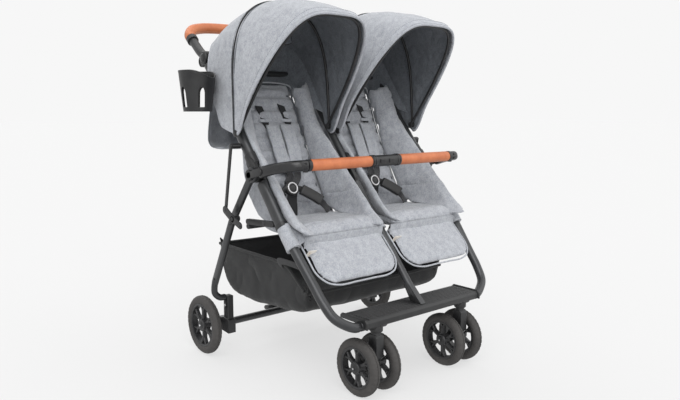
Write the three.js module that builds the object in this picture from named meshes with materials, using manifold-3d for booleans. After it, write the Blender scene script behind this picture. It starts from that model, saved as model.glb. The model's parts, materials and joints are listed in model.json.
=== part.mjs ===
// Side-by-side twin stroller with a folding frame, swivelling twin front wheels,
// two reclining seats, two canopies, a swing bumper bar and an under-seat basket.
//
// Millimetres. +Z is up and the stroller faces -Y. "right" and "left" are those of
// the person who pushes it, so the right-hand pieces are on -X.
// The pieces are first placed in a working frame: x = 0 on the centre plane, y = 0 on
// the rear wheel axis, z = 0 on the floor. The finished group is then moved so that
// its origin is the middle of its footprint.

import * as THREE from 'three';
import { mergeVertices } from 'three/addons/utils/BufferGeometryUtils.js';
import Module from 'manifold-3d';

const wasm = await Module();
wasm.setup();

// ---------------------------------------------------------------- driving dimensions

const GAP = 0.3; // clearance between touching pieces
const SLIVER = 0.01; // edges shorter than this are closed up after a boolean
const SIDES = [{ name: 'right', s: -1 }, { name: 'left', s: 1 }];

// The side tubes and the centre tube share one sloping plane, which passes the fold axis.
const FOLD = { y: -265.4, z: 560 };
const TUBE_SLOPE = 0.819; // rearward travel for each unit of height
const TUBE_X = 320;
const TUBE_TILT = Math.atan(TUBE_SLOPE); // from upright, leaning back
const TUBE_DIR = { y: Math.sin(TUBE_TILT), z: Math.cos(TUBE_TILT) };

const LOWER_TUBE_R = 12.5;
const SLEEVE = { across: 28, deep: 36, from: 28, to: 165 }; // fold sleeve, distances below the fold axis
const LUG = { r: 21, half: 16, inner: 306, mid: 319.85, outer: 333.3 };
const CORNER = { x: 300, z: 258 }; // where the side tube starts its front bend
const FOOTBOARD_HALF = 217;
const CROSSBAR = { y: -560, z: 195, half: 222 };
const CROSS_TUBE = { y: -207, z: 413, r: 8, half: 320 };
const AXLE_TUBE = { y: -20, z: 86, r: 11, half: 280 };

const CASTER = { x: 165, stemY: -560, axleY: -532, r: 76, width: 28, offset: 37 };
const REAR_WHEEL = { x: 348, r: 88, width: 28 };

const HANDLE = { z: 879, gripX: 311, gripY: 97, gripZ: 941, barY: 152, barZ: 985, barX: 225 };
const CANOPY = { x: 180, y: -197, z: 682, half: 168 };
const ARCHES = {
  front: { angle: 51, r: 374, nx: 3.7, nh: 2.3 },
  mid: { angle: 93, r: 346, nx: 2.3, nh: 4 },
  rear: { angle: 124, r: 304, nx: 6, nh: 6 },
};
const ARCH_END = 0.16; // the fabric stops this far short of the canopy axis, in radians
const BOW_R = 4;
const FABRIC = 4;

const SEAT = { x: 158, half: 136 };
const FLAP = { x: 152.5, half: 141, y: -407.5, z: 385, drop: 133, lean: 44, corner: 60, thick: 12 };
const BUTTON_X = 277; // release buttons under the bumper arms
const BUMPER = { y: -414, z: 591, grip: 264, clip: 55, r: 15 };
const BASKET = { half: 266, wall: 4 };
const CUP = { x: -402, y: -96, low: 726, high: 834, rLow: 39, rHigh: 50 };

// --------------------------------------------------------------------------- colours

const paint = (color, roughness, metalness = 0) => () =>
  new THREE.MeshStandardMaterial({ color, roughness, metalness });
const frameMetal = paint(0x35363a, 0.38, 0.7);
const blackPlastic = paint(0x1b1c1e, 0.55);
const wheelPlastic = paint(0x2c2b2b, 0.6);
const leather = paint(0xc46f42, 0.5);
const heather = paint(0x9ba3b2, 0.95);
const basketCloth = paint(0x1d1e20, 0.95);

// ----------------------------------------------------------------------- solid tools

const model = new THREE.Group();

// Adds one named piece.
function piece(name, geometry, material) {
  const mesh = new THREE.Mesh(geometry, material());
  mesh.name = name;
  model.add(mesh);
  return mesh;
}

// The height and depth of a point on the plane of the side tubes.
const onTubes = (z) => FOLD.y + TUBE_SLOPE * (z - FOLD.z);

// A point at a signed distance along the tubes from the fold axis.
const alongTube = (x, distance) =>
  new THREE.Vector3(x, FOLD.y + distance * TUBE_DIR.y, FOLD.z + distance * TUBE_DIR.z);

function welded(geometry) {
  const bare = geometry.clone();
  bare.deleteAttribute('normal');
  bare.deleteAttribute('uv');
  return mergeVertices(bare, 1e-4);
}

function toSolid(geometry) {
  const joined = welded(geometry);
  return new wasm.Manifold(new wasm.Mesh({
    numProp: 3,
    vertProperties: new Float32Array(joined.attributes.position.array),
    triVerts: new Uint32Array(joined.index.array),
  }));
}

function toGeometry(solid) {
  const mesh = solid.simplify(SLIVER).getMesh();
  const geometry = new THREE.BufferGeometry();
  const positions = new Float32Array(mesh.vertProperties);
  geometry.setAttribute('position', new THREE.BufferAttribute(positions, 3));
  geometry.setIndex(new THREE.BufferAttribute(new Uint32Array(mesh.triVerts), 1));
  geometry.computeVertexNormals();
  return geometry;
}

const join = (...parts) => toGeometry(parts.map(toSolid).reduce((a, b) => a.add(b)));
const cut = (body, ...tools) =>
  toGeometry(tools.map(toSolid).reduce((a, b) => a.subtract(b), toSolid(body)));

const box = (w, d, h, x, y, z) => new THREE.BoxGeometry(w, d, h).translate(x, y, z);

// A cylinder along X, Y or Z, centred on a point.
function rod(axis, r, length, x, y, z, sides = 20) {
  const geometry = new THREE.CylinderGeometry(r, r, length, sides);
  if (axis === 'x') geometry.rotateZ(Math.PI / 2);
  if (axis === 'z') geometry.rotateX(Math.PI / 2);
  return geometry.translate(x, y, z);
}

// A round tube along a smooth route of points.
function tube(points, r, steps, sides = 12) {
  const knots = points.map((p) => new THREE.Vector3(...p));
  const route = new THREE.CatmullRomCurve3(knots, false, 'centripetal');
  const section = new THREE.Shape().absarc(0, 0, r, 0, 2 * Math.PI);
  section.autoClose = true;
  const outline = new THREE.Shape(section.getSpacedPoints(sides).slice(0, sides));
  return new THREE.ExtrudeGeometry(outline, { steps, bevelEnabled: false, extrudePath: route });
}

// An outline in the Y-Z plane, extruded along X between two places.
function slab(points, xFrom, xTo) {
  const outline = new THREE.Shape(points.map(([y, z]) => new THREE.Vector2(y, z)));
  const geometry = new THREE.ExtrudeGeometry(outline, { depth: xTo - xFrom, bevelEnabled: false });
  // The outline's own axes become Y and Z, and its depth becomes X.
  geometry.applyMatrix4(new THREE.Matrix4().makeBasis(
    new THREE.Vector3(0, 1, 0), new THREE.Vector3(0, 0, 1), new THREE.Vector3(1, 0, 0)));
  return geometry.translate(xFrom, 0, 0);
}

// Points of an arc in the Y-Z plane, for outlines.
function arc(cy, cz, r, fromDeg, toDeg, steps) {
  return Array.from({ length: steps + 1 }, (_, i) => {
    const a = THREE.MathUtils.degToRad(fromDeg + ((toDeg - fromDeg) * i) / steps);
    return [cy + r * Math.cos(a), cz + r * Math.sin(a)];
  });
}

// A closed solid through a row of rings that all have the same number of points.
function loft(rings) {
  const n = rings[0].length;
  const positions = rings.flat().flatMap((p) => [p.x, p.y, p.z]);
  const index = [];
  for (let i = 0; i < rings.length - 1; i += 1) {
    for (let j = 0; j < n; j += 1) {
      const a = i * n + j;
      const b = i * n + ((j + 1) % n);
      index.push(a, b, a + n, b, b + n, a + n);
    }
  }
  const last = (rings.length - 1) * n;
  for (let j = 1; j < n - 1; j += 1) {
    index.push(0, j + 1, j);
    index.push(last, last + j, last + j + 1);
  }
  const geometry = new THREE.BufferGeometry();
  geometry.setAttribute('position', new THREE.Float32BufferAttribute(positions, 3));
  geometry.setIndex(index);
  return geometry;
}

// Turns a geometry whose faces point inwards right side out.
function facingOut(geometry) {
  const p = geometry.attributes.position;
  const idx = geometry.index;
  let volume = 0;
  const [a, b, c] = [new THREE.Vector3(), new THREE.Vector3(), new THREE.Vector3()];
  for (let i = 0; i < idx.count; i += 3) {
    a.fromBufferAttribute(p, idx.getX(i));
    b.fromBufferAttribute(p, idx.getX(i + 1));
    c.fromBufferAttribute(p, idx.getX(i + 2));
    volume += a.dot(b.cross(c));
  }
  if (volume < 0) idx.array.reverse();
  geometry.computeVertexNormals();
  return geometry;
}

// An oval bar along the tube direction, between two distances from the fold axis.
function ovalBar(x, from, to, across, deep, sides = 16) {
  const geometry = new THREE.CylinderGeometry(1, 1, to - from, sides);
  geometry.rotateX(Math.PI / 2);
  geometry.scale(across / 2, deep / 2, 1);
  geometry.rotateX(-TUBE_TILT);
  const middle = alongTube(x, (from + to) / 2);
  return geometry.translate(middle.x, middle.y, middle.z);
}

// A flat link with round ends between two points of the Y-Z plane.
function link(a, b, r, xFrom, xTo, steps = 6) {
  const heading = THREE.MathUtils.radToDeg(Math.atan2(b.z - a.z, b.y - a.y));
  return slab([
    ...arc(a.y, a.z, r, heading + 90, heading + 270, steps),
    ...arc(b.y, b.z, r, heading - 90, heading + 90, steps),
  ], xFrom, xTo);
}

// ------------------------------------------------------------------------- the frame

// One half of a fold joint: a round eye on the fold axis with a flat neck to its tube.
function lug(x1, x2, reach) {
  const end = alongTube(0, reach);
  return join(
    slab(arc(FOLD.y, FOLD.z, LUG.r, 0, 340, 17), x1, x2),
    link({ y: FOLD.y, z: FOLD.z }, { y: end.y, z: end.z }, LUG.half, x1, x2),
  );
}

function lowerTube(s) {
  const top = alongTube(0, -SLEEVE.to + 12);
  const route = tube([
    [s * TUBE_X, top.y, top.z],
    [s * 314, onTubes(375), 375],
    [s * 305, onTubes(300), 300],
    [s * CORNER.x, onTubes(CORNER.z), CORNER.z],
    [s * (CORNER.x - 12), onTubes(CORNER.z) - 26, CORNER.z - 33],
    [s * (CORNER.x - 42), CROSSBAR.y + 6, CROSSBAR.z + 8],
    [s * (CROSSBAR.half + 14), CROSSBAR.y, CROSSBAR.z],
    [s * (CROSSBAR.half + 3 * GAP), CROSSBAR.y, CROSSBAR.z],
  ], LOWER_TUBE_R, 15, 10);
  const [x1, x2] = s > 0 ? [LUG.inner, LUG.mid - GAP] : [-LUG.mid + GAP, -LUG.inner];
  const sleeve = ovalBar(s * TUBE_X, -SLEEVE.to, -SLEEVE.from, SLEEVE.across, SLEEVE.deep);
  return join(route, sleeve, lug(x1, x2, -SLEEVE.from - 10));
}

function frame() {
  for (const { name, s } of SIDES) piece(`lower_tube_${name}`, lowerTube(s), frameMetal);
  // The centre tube runs in the same plane, between the two seats.
  piece('centre_tube_lower', join(
    ovalBar(0, -430, -SLEEVE.from, 22, 22, 12),
    lug(-12, -GAP / 2, -SLEEVE.from - 10),
    slab([[-570, 213.8], [-530, 213.8], [-502, 256], [-520, 262]], -9, 9),
  ), frameMetal);
  const bar = rod('x', LOWER_TUBE_R, 2 * CROSSBAR.half, 0, CROSSBAR.y, CROSSBAR.z, 14);
  const sockets = SIDES.map(({ s }) =>
    rod('z', 12, 22, s * CASTER.x, CASTER.stemY, CROSSBAR.z - 11.5, 14));
  piece('front_crossbar', join(bar, ...sockets), frameMetal);
  // The footboard hooks over the crossbar.
  const board = slab([
    [-583, 196], [-583, 206], [-577, 213.5], [-492, 213.5], [-487, 209], [-487, 203],
    [-540, 203], [-540, 196],
  ], -FOOTBOARD_HALF, FOOTBOARD_HALF);
  const seatForBar = rod('x', LOWER_TUBE_R + GAP, 520, 0, CROSSBAR.y, CROSSBAR.z, 14);
  piece('footboard', cut(board, seatForBar), blackPlastic);
  // The cross tube and side rails that carry the seats.
  const { y, z, r, half } = CROSS_TUBE;
  piece('seat_cross_tube', rod('x', r, 2 * half, 0, y, z), frameMetal);
  for (const { name, s } of SIDES) {
    const [x1, x2] = s > 0 ? [321, 331] : [-331, -321];
    const rail = link({ y: -338, z: 436 }, { y: -222, z: 429 }, 8, x1, x2);
    piece(`seat_side_bar_${name}`, cut(rail,
      ovalBar(s * TUBE_X, -SLEEVE.to - 1, -SLEEVE.from, SLEEVE.across + 1, SLEEVE.deep + 1),
      rod('x', r + GAP, 2 * half + 20, 0, y, z)), blackPlastic);
  }
}

// --------------------------------------------------------------------------- wheels

// A wheel on an X axis: a round-shouldered tyre and rim, a hub and six spokes.
function wheel(r, width, hubR, rimR) {
  const half = width / 2;
  const tyre = new THREE.LatheGeometry([
    [rimR, -half + 4], [r - 11, -half], [r, -half + 9], [r, half - 9], [r - 11, half],
    [rimR, half - 4], [rimR, -half + 4],
  ].map(([a, b]) => new THREE.Vector2(a, b)), 20);
  tyre.rotateZ(-Math.PI / 2);
  const hub = rod('x', hubR, width - 4, 0, 0, 0, 12);
  const spokes = Array.from({ length: 6 }, (_, i) =>
    box(width - 12, 9, rimR - hubR + 10, 0, 0, (rimR + hubR) / 2).rotateX((i * Math.PI) / 3));
  return cut(join(tyre, hub, ...spokes), rod('x', 5.5, width + 2, 0, 0, 0, 8));
}

function casters() {
  for (const { name, s } of SIDES) {
    const x = s * CASTER.x;
    const { stemY, axleY } = CASTER;
    const stem = rod('z', 12, 40, x, stemY, 152.5, 14);
    const neck = slab([
      [stemY - 15, 104], [stemY - 15, 158], [stemY - 9, 164], [stemY + 9, 164], [stemY + 15, 158],
      [stemY + 17, 118], [axleY + 12, 82], [axleY + 8, 66], [axleY - 8, 66],
    ], x - 13, x + 13);
    const axle = rod('x', 5, 2 * CASTER.offset + CASTER.width + 8, x, axleY, CASTER.r, 12);
    piece(`caster_fork_${name}`, join(stem, neck, axle), blackPlastic);
    for (const side of SIDES) {
      const geometry = wheel(CASTER.r, CASTER.width, 17, 54);
      const mesh = piece(`front_wheel_${name}_${side.name}`, geometry, wheelPlastic);
      mesh.position.set(x + side.s * CASTER.offset, axleY, CASTER.r);
    }
  }
}

// -------------------------------------------------------------------- rear leg frame

const CRANK = { y: -205, z: 438 };
const CRANK_ARM = { y: -168, z: 459 };
const ROD_TOP = { y: -198, z: 634 };

function rearFrame() {
  const legInner = 334;
  const legOuter = 346;
  for (const { name, s } of SIDES) {
    const [x1, x2] = s > 0 ? [legInner, legOuter] : [-legOuter, -legInner];
    const turn = tube([
      [s * 340, -55, 228], [s * 340, -47, 205], [s * 335, -47, 189], [s * 321, -50, 177],
      [s * 303.9, -50, 176.5],
    ], 8, 8);
    piece(`rear_leg_${name}`, join(
      slab(arc(FOLD.y, FOLD.z, LUG.r, 0, 340, 17), x1, x2),
      link({ y: FOLD.y, z: FOLD.z }, { y: -158, z: 421 }, 11, x1, x2),
      link({ y: -158, z: 421 }, { y: -55, z: 226 }, 11, x1, x2),
      turn,
    ), frameMetal);
    // Post and wheel carrier with a stub axle.
    const post = box(20, 24, 96, s * 293, -50, 132);
    const carrier = slab(
      [[-68, 66], [10, 72], [14, 88], [8, 102], [-40, 112], [-68, 108]], s * 293 - 13, s * 293 + 13);
    const stub = rod('x', 5, 60, s * (293 + 38), 0, REAR_WHEEL.r, 12);
    piece(`rear_wheel_mount_${name}`, join(post, carrier, stub), blackPlastic);
    const geometry = wheel(REAR_WHEEL.r, REAR_WHEEL.width, 19, 64);
    const mesh = piece(`rear_wheel_${name}`, geometry, wheelPlastic);
    mesh.position.set(s * REAR_WHEEL.x, 0, REAR_WHEEL.r);
    // Link between the upper frame and the leg, and the crank that it works.
    const [c1, c2] = s > 0 ? [364.8, 368.4] : [-368.4, -364.8];
    const [b1, b2] = s > 0 ? [346.4, 365] : [-365, -346.4];
    piece(`bell_crank_${name}`, join(
      link(CRANK, CRANK_ARM, 11, c1, c2),
      link(CRANK, { y: -243, z: 424 }, 9, c1, c2),
      rod('x', 8, b2 - b1, (b1 + b2) / 2, CRANK.y, CRANK.z, 14),
    ), blackPlastic);
    const [r1, r2] = s > 0 ? [360.4, 364.4] : [-364.4, -360.4];
    const [t1, t2] = s > 0 ? [334, 360.6] : [-360.6, -334];
    piece(`link_rod_${name}`, join(
      link(ROD_TOP, { y: -166, z: 466 }, 6, r1, r2),
      rod('x', 7, t2 - t1, (t1 + t2) / 2, ROD_TOP.y, ROD_TOP.z, 12),
    ), blackPlastic);
  }
  const { y, z, r, half } = AXLE_TUBE;
  piece('rear_axle_tube', rod('x', r, 2 * (half - GAP), 0, y, z, 14), frameMetal);
  // A foot bar behind the axle tube, on two arms that clasp it.
  const arms = SIDES.map(({ s }) => slab(
    [[-8, 80], [-8, 96], [10, 98], [52, 84], [52, 74], [14, 76]], s * 60 - 6, s * 60 + 6));
  const foot = slab([[44, 72], [44, 86], [66, 82], [72, 74], [66, 68]], -85, 85);
  piece('brake_pedal', cut(join(...arms, foot), rod('x', r + GAP, 300, 0, y, z, 14)), blackPlastic);
}

// ----------------------------------------------------------------------- upper frame

function upperFrame() {
  const top = (HANDLE.z - FOLD.z) / TUBE_DIR.z;
  for (const { name, s } of SIDES) {
    const [x1, x2] = s > 0 ? [LUG.mid, LUG.outer] : [-LUG.outer, -LUG.mid];
    piece(`upper_tube_${name}`, join(
      lug(x1, x2, SLEEVE.from + 10),
      ovalBar(s * TUBE_X, SLEEVE.from, top - 30, 25, 32),
      ovalBar(s * TUBE_X, top - 62, top - 26, 30, 36),
    ), frameMetal);
  }
  piece('centre_tube_upper', join(
    lug(GAP / 2, 12, SLEEVE.from + 10),
    ovalBar(0, SLEEVE.from, top - 66, 22, 22, 12),
  ), frameMetal);
  // A cross tube just below the handle joints ties the three tubes together.
  const cross = alongTube(0, top - 52);
  piece('upper_cross_tube', rod('x', 9, 2 * (TUBE_X - 15 - GAP), 0, cross.y, cross.z, 14), frameMetal);
}

function handle() {
  const joint = { x: TUBE_X, y: onTubes(HANDLE.z), z: HANDLE.z };
  for (const { name, s } of SIDES) {
    const hub = rod('x', 20, 26, s * joint.x, joint.y, joint.z, 20);
    const ear = rod('x', 17, 14, s * (joint.x - 6), joint.y + 26, joint.z - 8, 18);
    const arm = tube([
      [s * joint.x, joint.y, joint.z], [s * 319, 30, 897], [s * 315, 62, 917],
      [s * HANDLE.gripX, HANDLE.gripY, HANDLE.gripZ],
    ], 13, 6);
    piece(`handle_arm_${name}`, join(hub, ear, arm), blackPlastic);
  }
  const { gripX, gripY, gripZ, barY, barZ, barX } = HANDLE;
  const half = [
    [gripX - 0.1, gripY + 0.9, gripZ + 0.6], [gripX - 2, gripY + 16.5, gripZ + 11.3],
    [gripX - 22, barY - 17, barZ - 14], [barX + 25, barY - 4, barZ - 4], [barX - 30, barY, barZ],
  ];
  const mirror = [...half].reverse().map(([x, y, z]) => [-x, y, z]);
  piece('handle_grip', tube([...half, [0, barY, barZ], ...mirror], 16, 22, 10), leather);
}

function cupHolder() {
  const { x, y, low, high, rLow, rHigh } = CUP;
  const cup = new THREE.LatheGeometry([
    [0, low], [rLow, low], [rHigh, high], [rHigh - 3, high], [rLow - 3, low + 4], [0, low + 4],
  ].map(([a, b]) => new THREE.Vector2(a, b)), 20);
  cup.rotateX(Math.PI / 2).translate(x, y, 0);
  const windows = Array.from({ length: 5 }, (_, i) => {
    const window = new THREE.CylinderGeometry(9, 9, 30, 8).scale(1, 1, 2.8).rotateZ(Math.PI / 2);
    const turn = (i * 2 * Math.PI) / 5 + 0.7;
    return window.translate(rHigh, 0, 0).rotateZ(turn).translate(x, y, low + 38);
  });
  const tubeY = onTubes(792);
  const arm = box(24, 26, 40, -345.3, tubeY - 2, 792);
  const inside = new THREE.CylinderGeometry(rHigh - 3, rLow - 3, high - low - 4, 20);
  inside.rotateX(Math.PI / 2).translate(x, y, (high + low) / 2 + 2.2);
  const forTube = ovalBar(-TUBE_X, 100, 400, 26 + 2 * GAP, 32 + 2 * GAP);
  piece('cup_holder', cut(join(cut(cup, ...windows), arm), forTube, inside), blackPlastic);
}

// -------------------------------------------------------------------------- soft parts

function seats() {
  for (const { name, s } of SIDES) {
    const x1 = s * SEAT.x - SEAT.half;
    const x2 = s * SEAT.x + SEAT.half;
    piece(`seat_pad_${name}`, slab([
      [-418, 397], [-434, 405], [-436, 418], [-424, 431], [-396, 436], [-330, 434], [-224, 430],
      [-222, 409], [-300, 402], [-380, 400],
    ], x1, x2), heather);
    // The backrest narrows towards its top.
    const back = (z, front, rear, half) => [
      new THREE.Vector3(s * SEAT.x - half, front, z), new THREE.Vector3(s * SEAT.x + half, front, z),
      new THREE.Vector3(s * SEAT.x + half, rear, z), new THREE.Vector3(s * SEAT.x - half, rear, z),
    ];
    piece(`seat_back_${name}`, facingOut(loft([
      back(436, -238, -220, 124), back(500, -197, -173, 122), back(640, -128, -104, 112),
      back(760, -94, -70, 94), back(812, -86, -68, 72),
    ])), heather);
    // Padded flap that leans forward from the seat edge, with rounded lower corners.
    const { half, drop, corner } = FLAP;
    const outline = new THREE.Shape([
      [-half, 0], ...arc(corner - half, corner - drop, corner, 180, 270, 6),
      ...arc(half - corner, corner - drop, corner, 270, 360, 6), [half, 0],
    ].map(([a, b]) => new THREE.Vector2(a, b)));
    const flap = new THREE.ExtrudeGeometry(outline, { depth: FLAP.thick, bevelEnabled: false });
    flap.rotateX(Math.PI / 2 - THREE.MathUtils.degToRad(FLAP.lean));
    flap.translate(s * FLAP.x, FLAP.y, FLAP.z);
    piece(`calf_rest_${name}`, flap, heather);
  }
}

function basket() {
  const { half, wall } = BASKET;
  const outer = [
    [45, 322], [20, 185], [-40, 168], [-200, 172], [-350, 182], [-392, 203], [-398, 246], [-315, 320],
  ];
  const inner = [
    [41.5, 326], [16, 189], [-41, 173], [-200, 177], [-349, 187], [-388, 206], [-393, 252], [-311, 328],
  ];
  piece('basket', cut(slab(outer, -half, half), slab(inner, -half + wall, half - wall)), basketCloth);
}

// A point of a squared-off arch. Direction t runs from one foot round to the other, and
// the plane of the arch is turned about the canopy axis.
function archPoint(cx, shape, t, inset) {
  const [c, s] = [Math.cos(t), Math.sin(t)];
  let [low, high] = [0.5, 1.5];
  for (let i = 0; i < 24; i += 1) {
    const reach = (low + high) / 2;
    const past = Math.abs(reach * c) ** shape.nx + (reach * s) ** shape.nh > 1;
    [low, high] = past ? [low, reach] : [reach, high];
  }
  const h = (shape.r - inset) * low * s;
  const a = THREE.MathUtils.degToRad(shape.angle);
  return new THREE.Vector3(
    cx - (CANOPY.half - inset) * low * c, CANOPY.y - h * Math.cos(a), CANOPY.z + h * Math.sin(a));
}

// A blend of two arches, for the fabric between them.
function between(a, b, k) {
  const mix = (key) => a[key] + (b[key] - a[key]) * k;
  return { angle: mix('angle'), r: mix('r'), nx: mix('nx'), nh: mix('nh') };
}

// The fabric between two arches is a thin shell with a rim at each end.
function canopyPanel(cx, a, b) {
  const rings = [];
  const spans = [0, 0.5, 1];
  const steps = 18;
  for (let i = 0; i <= steps; i += 1) {
    const t = ARCH_END + ((Math.PI - 2 * ARCH_END) * i) / steps;
    const outer = spans.map((k) => archPoint(cx, between(a, b, k), t, 0));
    const inner = [...spans].reverse().map((k) => archPoint(cx, between(a, b, k), t, FABRIC));
    rings.push([...outer, ...inner]);
  }
  return facingOut(loft(rings));
}

// A wire bow just under the fabric, with an eye at each foot on the canopy axis.
function bow(cx, shape, footX) {
  const inset = FABRIC + BOW_R + 3.5;
  const narrower = footX / (CANOPY.half - inset);
  const route = [[cx - footX, CANOPY.y, CANOPY.z]];
  const steps = 14;
  for (let i = 0; i <= steps; i += 1) {
    const t = ARCH_END + ((Math.PI - 2 * ARCH_END) * i) / steps;
    const p = archPoint(cx, shape, t, inset);
    route.push([cx + (p.x - cx) * narrower, p.y, p.z]);
  }
  route.push([cx + footX, CANOPY.y, CANOPY.z]);
  const eyes = [-1, 1].map((k) => rod('x', 7.5, 4, cx + k * footX, CANOPY.y, CANOPY.z, 10));
  return join(tube(route, BOW_R, 24, 6), ...eyes);
}

function canopies() {
  const { front, mid, rear } = ARCHES;
  const lean = 1.2; // the fabric stops this many degrees short of the next panel
  for (const { name, s } of SIDES) {
    const cx = s * CANOPY.x;
    const rim = { ...front, angle: front.angle + 1 };
    piece(`canopy_mid_bow_${name}`, bow(cx, mid, CANOPY.half - 8.5), blackPlastic);
    piece(`canopy_front_bow_${name}`, bow(cx, rim, CANOPY.half - 17.5), blackPlastic);
    piece(`canopy_front_${name}`, canopyPanel(cx, front, { ...mid, angle: mid.angle - lean }), heather);
    piece(`canopy_rear_${name}`, canopyPanel(cx, { ...mid, angle: mid.angle + lean }, rear), heather);
  }
}

// -------------------------------------------------------------- bumper bar and buckles

function bumper() {
  const { y, z, grip, clip, r } = BUMPER;
  for (const { name, s } of SIDES) {
    const [x1, x2] = s > 0 ? [346.4, 358] : [-358, -346.4];
    const hub = slab(arc(FOLD.y, FOLD.z, 19, 0, 340, 17), x1, x2);
    const arm = tube([
      [s * 348, FOLD.y - 38, FOLD.z + 8], [s * 346, FOLD.y - 62, FOLD.z + 15],
      [s * 334, FOLD.y - 100, FOLD.z + 23], [s * 310, y + 17, z - 3],
      [s * (grip + 26), y, z], [s * (grip + 3 * GAP), y, z],
    ], 12, 12, 10);
    const strut = link({ y: FOLD.y, z: FOLD.z }, { y: FOLD.y - 52, z: FOLD.z + 12 }, 10, x1, x2);
    const pocket = box(13, 9, 8, s * BUTTON_X, y, z - 10);
    piece(`bumper_arm_${name}`, cut(join(hub, strut, arm), pocket), blackPlastic);
    const bar = rod('x', r, grip - clip - GAP, (s * (grip + clip)) / 2, y, z, 20);
    piece(`bumper_grip_${name}`, bar, leather);
    piece(`bumper_button_${name}`, box(12, 8, 6, s * BUTTON_X, y, z - 11.5), blackPlastic);
  }
  piece('bumper_clip', rod('x', r + 1, 2 * (clip - GAP), 0, y, z, 16), blackPlastic);
}

function buckles() {
  for (const { name, s } of SIDES) {
    const x = s * 158 - 40;
    const centre = { x, y: -246, z: 512 };
    const lean = THREE.MathUtils.degToRad(-22);
    const body = cut(rod('y', 22, 14, 0, 0, 0, 18), rod('y', 11.5, 8, 0, -4.5, 0, 16)).rotateX(lean);
    const strap = slab(
      [[-258, 432.6], [-250, 432.4], [-245, 470], [-245, 502], [-254, 502], [-253, 470]], x - 16, x + 16);
    piece(`buckle_${name}`, join(body.translate(centre.x, centre.y, centre.z), strap), blackPlastic);
    const button = rod('y', 11, 5, 0, -6.2, 0, 16).rotateX(lean);
    piece(`buckle_button_${name}`, button.translate(centre.x, centre.y, centre.z), blackPlastic);
  }
}

// --------------------------------------------------------------------------- assembly

frame();
casters();
rearFrame();
upperFrame();
handle();
cupHolder();
seats();
basket();
canopies();
bumper();
buckles();

// The origin is the middle of the footprint, on the floor.
const bounds = new THREE.Box3().setFromObject(model);
const middle = bounds.getCenter(new THREE.Vector3());
model.position.set(-middle.x, -middle.y, -bounds.min.z);

export default model;
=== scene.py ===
"""Looks of a side-by-side twin stroller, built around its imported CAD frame.

Lengths are in millimetres in the stroller's own frame, the one that the CAD source uses: x = 0 on
the centre plane, y = 0 on the rear wheel axis, z = 0 on the floor, facing -Y. at() turns them into
metres in the row frame. "right" pieces are on -X.
"""
import json
import math

import bmesh
import bpy
import numpy as np
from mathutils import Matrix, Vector, noise


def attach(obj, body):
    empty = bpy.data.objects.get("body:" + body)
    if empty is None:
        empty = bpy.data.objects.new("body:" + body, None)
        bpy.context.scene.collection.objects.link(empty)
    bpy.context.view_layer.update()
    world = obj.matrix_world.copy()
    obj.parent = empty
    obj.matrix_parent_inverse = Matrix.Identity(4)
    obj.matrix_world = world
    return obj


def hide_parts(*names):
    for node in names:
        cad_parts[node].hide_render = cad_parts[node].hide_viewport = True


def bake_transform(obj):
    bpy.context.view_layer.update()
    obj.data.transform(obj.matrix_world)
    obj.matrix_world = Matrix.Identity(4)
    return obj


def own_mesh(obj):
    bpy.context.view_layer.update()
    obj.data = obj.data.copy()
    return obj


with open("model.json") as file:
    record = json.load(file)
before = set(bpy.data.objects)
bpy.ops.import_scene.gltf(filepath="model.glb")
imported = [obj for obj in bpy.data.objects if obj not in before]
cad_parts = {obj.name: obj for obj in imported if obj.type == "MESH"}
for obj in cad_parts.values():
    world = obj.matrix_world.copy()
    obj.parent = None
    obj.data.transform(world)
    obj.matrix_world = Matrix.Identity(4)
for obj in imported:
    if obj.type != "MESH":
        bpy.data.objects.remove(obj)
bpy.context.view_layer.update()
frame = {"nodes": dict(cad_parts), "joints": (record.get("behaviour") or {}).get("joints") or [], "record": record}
JOINTS = {joint["name"]: joint for joint in frame["joints"]}
BODY_OF = {n: body for body, nodes in frame["record"]["behaviour"]["bodies"].items() for n in nodes}
SIDES = (("right", -1), ("left", 1))
MM = 0.001

# ------------------------------------------------------------------ driving dimensions
FOLD_Y, FOLD_Z = -265.4, 560.0
ORIGIN = Vector(JOINTS["frame_fold"]["pos_m"]) - Vector((0, FOLD_Y, FOLD_Z)) * MM
TUBE_SLOPE = 0.819  # rearward travel of the tube plane for each unit of height
TUBE_TILT = math.atan(TUBE_SLOPE)
TUBE_X = 320
SEAT_X = 158
CANOPY = {"x": 180, "y": -197, "z": 682, "half": 168}
ARCHES = {
    "front": {"angle": 51, "r": 374, "nx": 3.7, "nh": 2.3},
    "mid": {"angle": 93, "r": 346, "nx": 2.3, "nh": 4},
    "rear": {"angle": 124, "r": 304, "nx": 6, "nh": 6},
}
LOBE = {"r": 17, "fade": 60, "front": -39, "rear": -143}  # the round end of the cloth at each foot
# How far the rear edge turns back past its arch, outside the side tube: heights and degrees.
REAR_WRAP = ((0, 50), (64, 50), (105, 28), (190, 12), (262, 0))
FLAP = {"x": 152.5, "half": 141, "y": -407.5, "z": 385, "drop": 133, "lean": 44, "corner": 60, "thick": 12}
BUMPER = {"y": -414, "z": 591, "grip": 264, "clip": 55, "r": 15}
HANDLE = {"z": 879, "grip_x": 311, "grip_y": 97, "grip_z": 941, "bar_y": 152, "bar_z": 985, "bar_x": 225}
CUP = {"x": -402, "y": -96, "low": 726, "high": 834, "r_low": 39, "r_high": 50}
BUCKLE = {"dx": -40, "y": -246, "z": 512}
REAR_WHEEL = {"x": 348, "y": 0, "r": 88, "width": 28, "hub": 19, "rim": 64}
CASTER = {"x": 165, "stem_y": -560, "axle_y": -532, "r": 76, "width": 28, "hub": 17, "rim": 54, "offset": 37}
CROSSBAR = {"half": 222, "y": -560, "z": 195}
CRANK = ((-205, 438), (-168, 459), (-243, 424))  # the pivot and the two ends of a bell crank


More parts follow.
